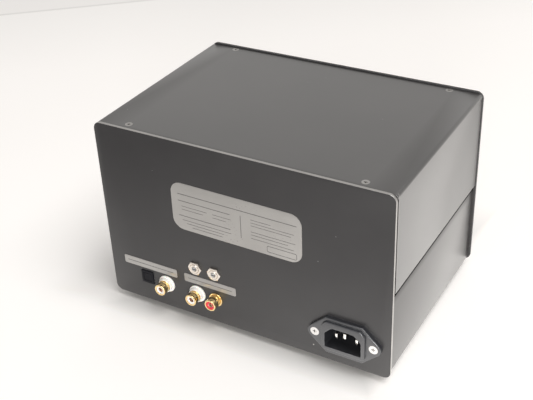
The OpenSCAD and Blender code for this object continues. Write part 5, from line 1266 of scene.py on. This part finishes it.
# Selector knob and its marks
KNOB_BACK = FRONT - 0.8
knob = turned((0, KNOB_BACK, CONTROL_Z), [
    (0, -13.2), (3.0, -13.2), (3.0, -6.4), (7.73, -6.4), (7.73, 0), (14.8, 0), (15.0, -0.2), (15.0, -2.0),
    (14.85, -2.2),
    (14.0, -3.0), (13.6, -12.6), (13.45, -13.9), (13.1, -14.7), (12.5, -15.2), (10.0, -15.2), (9.8, -15.0),
    (9.6, -14.8),
    (0, -14.8)], steps=96, closed=False)
flute = turned((0, KNOB_BACK, CONTROL_Z + 14.3), [(0, -17), (1, -17), (1, -3.6), (0.6, -3.2), (0, -3.0)],
               steps=16,
               closed=False)
flutes = [copy_of(flute, turn_about((0, 0, CONTROL_Z), "Y", (i + 0.5) * 15)) for i in range(24)]
bpy.data.objects.remove(flute)
cut(knob, *flutes)
line_slot = block((-0.6, KNOB_BACK - 17, CONTROL_Z + 10.3), (0.6, KNOB_BACK - 14.7, CONTROL_Z + 20))
tidy(cut(knob, line_slot), 0.01)
settle(knob, "selector_knob_body", knob_moulding, body="selector", stands_for=["selector_knob"])
line = block((-0.55, KNOB_BACK - 15.05, CONTROL_Z + 10.35), (0.55, KNOB_BACK - 14.7, CONTROL_Z + 12.7))
settle(line, "selector_knob_line", print_white, body="selector")
inlay = turned((0, KNOB_BACK, CONTROL_Z), [
    (0, -14.8), (9.45, -14.8), (9.45, -14.95), (9.3, -15.1), (9.0, -15.12), (8.7, -15.05), (0, -15.05)],
    steps=96,
    closed=False)
settle(inlay, "selector_knob_inlay", spun_aluminium, body="selector")

position_mark = block((-0.4, FRONT - INK, CONTROL_Z + 17.2), (0.4, FRONT, CONTROL_Z + 20.2))
position_marks = joined([copy_of(position_mark, turn_about((0, 0, CONTROL_Z), "Y", lean))
                         for lean in (-60, -30, 0, 30, 60)])
bpy.data.objects.remove(position_mark)
settle(position_marks, "selector_marks", print_white)

# Power switch
ROCKER_Y = FRONT + 1
ROCKER_HALF = 7.4
switch = plate((ROCKER_X, CONTROL_Z), (15, 21), FRONT - 1.8, 1.8, 1, 5)
round_off(switch, 0.5, 3, lambda e: middle(e).y < FRONT - 1.8 + HAIR and not along(e, 1))
switch_rear = block((-86.3, FRONT - 0.5, CONTROL_Z - 9.5), (-73.7, FRONT_IN + 16, CONTROL_Z + 9.5))
combine(switch, switch_rear, "UNION")
cut(switch, block((-85.2, FRONT - 3, CONTROL_Z - 8.4), (-74.8, FRONT_IN + 8, CONTROL_Z + 8.4)))
settle(switch, "power_switch_body", black_moulding, stands_for=["power_switch"])

side_view = [(5, 0), (1.5, ROCKER_HALF), (-4.2, ROCKER_HALF), (-3, 0), (-4.2, -ROCKER_HALF),
             (1.5, -ROCKER_HALF)]
rocker = outlined(side_view, 0, (10, 0, 0), lambda a, b: Vector((-85, ROCKER_Y + a, CONTROL_Z + b)))
soften(rocker, 0.35, 3, 30)
axle_side = [(0, -86.2), (1, -86.2), (1, -73.8), (0, -73.8)]
axle = turned((0, ROCKER_Y, CONTROL_Z), axle_side, "X", 24, closed=False)
combine(rocker, axle, "UNION")
tip = turn_about((0, ROCKER_Y, CONTROL_Z), "X", -8)
rocker.data.transform(tip)
settle(rocker, "rocker_cap", black_moulding, body="rocker", stands_for=["power_rocker"])
slope = math.degrees(math.atan2(1.2, ROCKER_HALF))
on_bar = block((-80.35, ROCKER_Y - 3.06, CONTROL_Z + 2.4), (-79.65, ROCKER_Y - 2.9, CONTROL_Z + 5.4))
on_bar.data.transform(turn_about((0, ROCKER_Y - 3, CONTROL_Z), "X", slope))
ring = [(0.95, -3.06), (1.5, -3.06), (1.5, -2.9), (0.95, -2.9)]
off_ring = turned((ROCKER_X, ROCKER_Y, CONTROL_Z - 3.9), ring, steps=40)
off_ring.data.transform(turn_about((0, ROCKER_Y - 3, CONTROL_Z), "X", -slope))
rocker_marks = joined([on_bar, off_ring])
rocker_marks.data.transform(tip)
settle(rocker_marks, "rocker_marks", print_white, body="rocker")

# Reset switch and its button
switch_box = block((RESET_X - 5, FRONT_IN, CONTROL_Z - 5), (RESET_X + 5, FRONT_IN + 12, CONTROL_Z + 5))
soften(switch_box, 0.3, 2, 50)
bushing_rings = [(4.0 if i % 2 else 3.85, -3.0 + i * 0.35) for i in range(12)]
bushing_side = [(2.05, -2.8), (2.25, -3.0)] + bushing_rings + [(4.0, 3.5), (2.05, 3.5)]
bushing = turned((RESET_X, FRONT, CONTROL_Z), bushing_side, steps=48)
combine(bushing, switch_box, "UNION")
settle(bushing, "reset_switch_body", dull_steel, stands_for=["reset_switch"])
button = turned((RESET_X, FRONT, CONTROL_Z), [
    (0, -8.7), (2.6, -8.64), (3.7, -8.45), (4.25, -8.1), (4.5, -7.6), (4.5, -5.35), (4.35, -5.2), (2.0, -5.2),
    (2.0, 8.0), (0, 8.0)], steps=64, closed=False)
settle(button, "reset_cap", red_cap, body="reset", stands_for=["reset_button"])


# Light, floor and camera
def lamp(name, place, aim, size, power):
    """A soft square lamp."""
    light = bpy.data.lights.new(name, "AREA")
    light.shape = "SQUARE"
    light.size = size
    light.energy = power
    holder = bpy.data.objects.new(name, light)
    bpy.context.scene.collection.objects.link(holder)
    holder.location = place
    holder.rotation_euler = (Vector(aim) - Vector(place)).to_track_quat("-Z", "Y").to_euler()


lamp("key", (-1.03, 0.3, 2.36), (0, 0, 0.05), 1.5, 44)
lamp("rear_fill", (-0.5, 1.1, 0.16), (-0.02, 0.07, 0.06), 0.3, 10)


def ray_kinds(tree):
    """Two masks: rays that come from the camera, and rays from a glossy surface or through glass."""
    ray = add_node(tree, "LightPath").outputs
    return ray["Is Camera Ray"], math_node(tree, "MAXIMUM", ray["Is Glossy Ray"], ray["Is Transmission Ray"])


# The room is white to the camera, a little greyer in reflections and dimmer as a lamp, but for its front side
ROOM_LIGHT = 0.24
FRONT_LIGHT = 0.7
ROOM_MIRRORED = 0.72
world = bpy.data.worlds.new("room")
bpy.context.scene.world = world
world.use_nodes = True
room = world.node_tree
seen, mirrored = ray_kinds(room)
facing = axes(room, add_node(room, "TexCoord").outputs["Generated"])["Y"]
ahead = math_node(room, "MULTIPLY", facing, -FRONT_LIGHT, clamp=True)
lit = math_node(room, "ADD", ahead, ROOM_LIGHT)
strength = add_node(room, "Mix", {"Factor": mirrored, 2: lit, 3: ROOM_MIRRORED}).outputs[0]
strength = add_node(room, "Mix", {"Factor": seen, 2: strength, 3: 1.0}).outputs[0]
background = room.nodes["Background"]
background.inputs["Color"].default_value = (1.0, 0.978, 0.955, 1.0)
room.links.new(strength, background.inputs["Strength"])


# The floor's colours
PAPER = (0.84, 0.818, 0.795)
OTHER_PAPER = (0.83, 0.805, 0.78)
PAPER_BEHIND = (0.22, 0.21, 0.20)
PAPER_FAR = (0.78, 0.762, 0.74)
PAPER_BEYOND = (0.745, 0.725, 0.705)
PAPER_SHADE = (0.66, 0.645, 0.625)

# The way the camera looks along the floor, and how far that way the floor's faint edge lies, in metres
LOOK = (0.641, -0.768, 0.0)
FAR_EDGE = 0.606

# Where each of the floor's changes, its glow and its painted shadow under and beside the case, begins and
# ends, in metres. The left side is +X, seen from behind
LEFT_GLOW = (0.09, 0.16)
LEFT_SHADE = (0.09, 0.112)
RIGHT_SIDE = (-0.085, -0.1)
REAR_GLOW = (0.072, 0.095)
REAR_SHADE = (0.076, 0.094)
FRONT_SIDE = (-0.05, -0.15)


def paper_colour(tree, place, seen, unshadowed):
    """The floor's colour: greyer far off, with its edge, and darker under and beside the case, where a shadow
    is painted.
    """
    across = axes(tree, place)["Y"]
    unseen = math_node(tree, "SUBTRACT", 1.0, seen)
    behind = math_node(tree, "MULTIPLY", ramp(tree, across, 0.10, 0.5), unseen)
    far = add_node(tree, "VectorMath", {0: place, 1: LOOK}, operation="DOT_PRODUCT").outputs["Value"]
    shade = use_group(tree, DRIFT, Colour=rgba(PAPER), Other_Colour=rgba(OTHER_PAPER), Scale=2.0)["Colour"]
    shade = mix_colour(tree, behind, shade, rgba(PAPER_BEHIND))
    shade = mix_colour(tree, ramp(tree, far, 0.42, FAR_EDGE), shade, rgba(PAPER_FAR))
    shade = mix_colour(tree, ramp(tree, far, FAR_EDGE - 0.002, FAR_EDGE + 0.002), shade, rgba(PAPER_BEYOND))
    shade = mix_colour(tree, math_node(tree, "COMPARE", far, FAR_EDGE, 0.0025), shade, rgba(PAPER_SHADE))
    return mix_colour(tree, unshadowed, rgba(PAPER_SHADE), shade)


def mirrored_glow(tree, sideways, across):
    """How bright the floor is in reflections and through glass: most close behind the case, on its right."""
    towards = ramp(tree, across, -0.35, 0.05, 0.2, 0.75)
    reach = ramp(tree, across, 0.06, 0.085)
    limit = ramp(tree, across, 0.2, 0.1)
    patch = ramp(tree, sideways, 0.02, -0.08, high=1.2)
    patch = math_node(tree, "MULTIPLY_ADD", patch, limit, -0.3)
    return math_node(tree, "MULTIPLY_ADD", patch, reach, towards)


def build_paper():
    """White floor that glows a little for the camera, and is darker and glows less under and beside the case.

    Part of the case's shadow is painted in this way.
    """
    material, tree, shader = new_material("floor_paper")
    place = here(tree)
    ways = axes(tree, place)
    sideways, across = ways["X"], ways["Y"]
    seen, mirrored = ray_kinds(tree)
    right = ramp(tree, sideways, *RIGHT_SIDE)
    front = ramp(tree, across, *FRONT_SIDE)
    clear = greatest(tree, ramp(tree, sideways, *LEFT_GLOW), right, ramp(tree, across, *REAR_GLOW), front)
    beside = ramp(tree, sideways, *LEFT_SHADE)
    unshadowed = greatest(tree, ramp(tree, across, *REAR_SHADE), front, beside, right)
    distance = add_node(tree, "VectorMath", {0: place}, operation="LENGTH").outputs["Value"]
    open_glow = math_node(tree, "MULTIPLY_ADD", clear, 0.2, 0.08)
    open_glow = math_node(tree, "ADD", open_glow, ramp(tree, distance, 0.9, 2.6, high=0.7))
    in_mirrors = math_node(tree, "MULTIPLY", mirrored, mirrored_glow(tree, sideways, across))
    shade = paper_colour(tree, place, seen, unshadowed)
    tree.links.new(shade, shader.inputs["Base Color"])
    tree.links.new(shade, shader.inputs["Emission Color"])
    glow = math_node(tree, "MULTIPLY_ADD", seen, open_glow, in_mirrors)
    tree.links.new(glow, shader.inputs["Emission Strength"])
    shader.inputs["Roughness"].default_value = 0.9
    shader.inputs["Specular IOR Level"].default_value = 0.2
    return material


deselect()
bpy.ops.mesh.primitive_plane_add(size=8, location=(0, 0, 0))
floor = bpy.context.active_object
floor.name = "floor"
floor.data.materials.append(build_paper())
floor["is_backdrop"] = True

camera = bpy.data.objects.new("camera", bpy.data.cameras.new("camera"))
bpy.context.scene.collection.objects.link(camera)
camera.data.sensor_width = 36
camera.data.lens = 65.70
camera.location = (-0.27646, 0.49813, 0.41844)
camera.rotation_euler = [math.radians(turn) for turn in (58.2002, 2.2843, -150.3462)]
bpy.context.scene.camera = camera
bpy.context.scene.view_settings.view_transform = "Standard"

low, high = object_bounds()
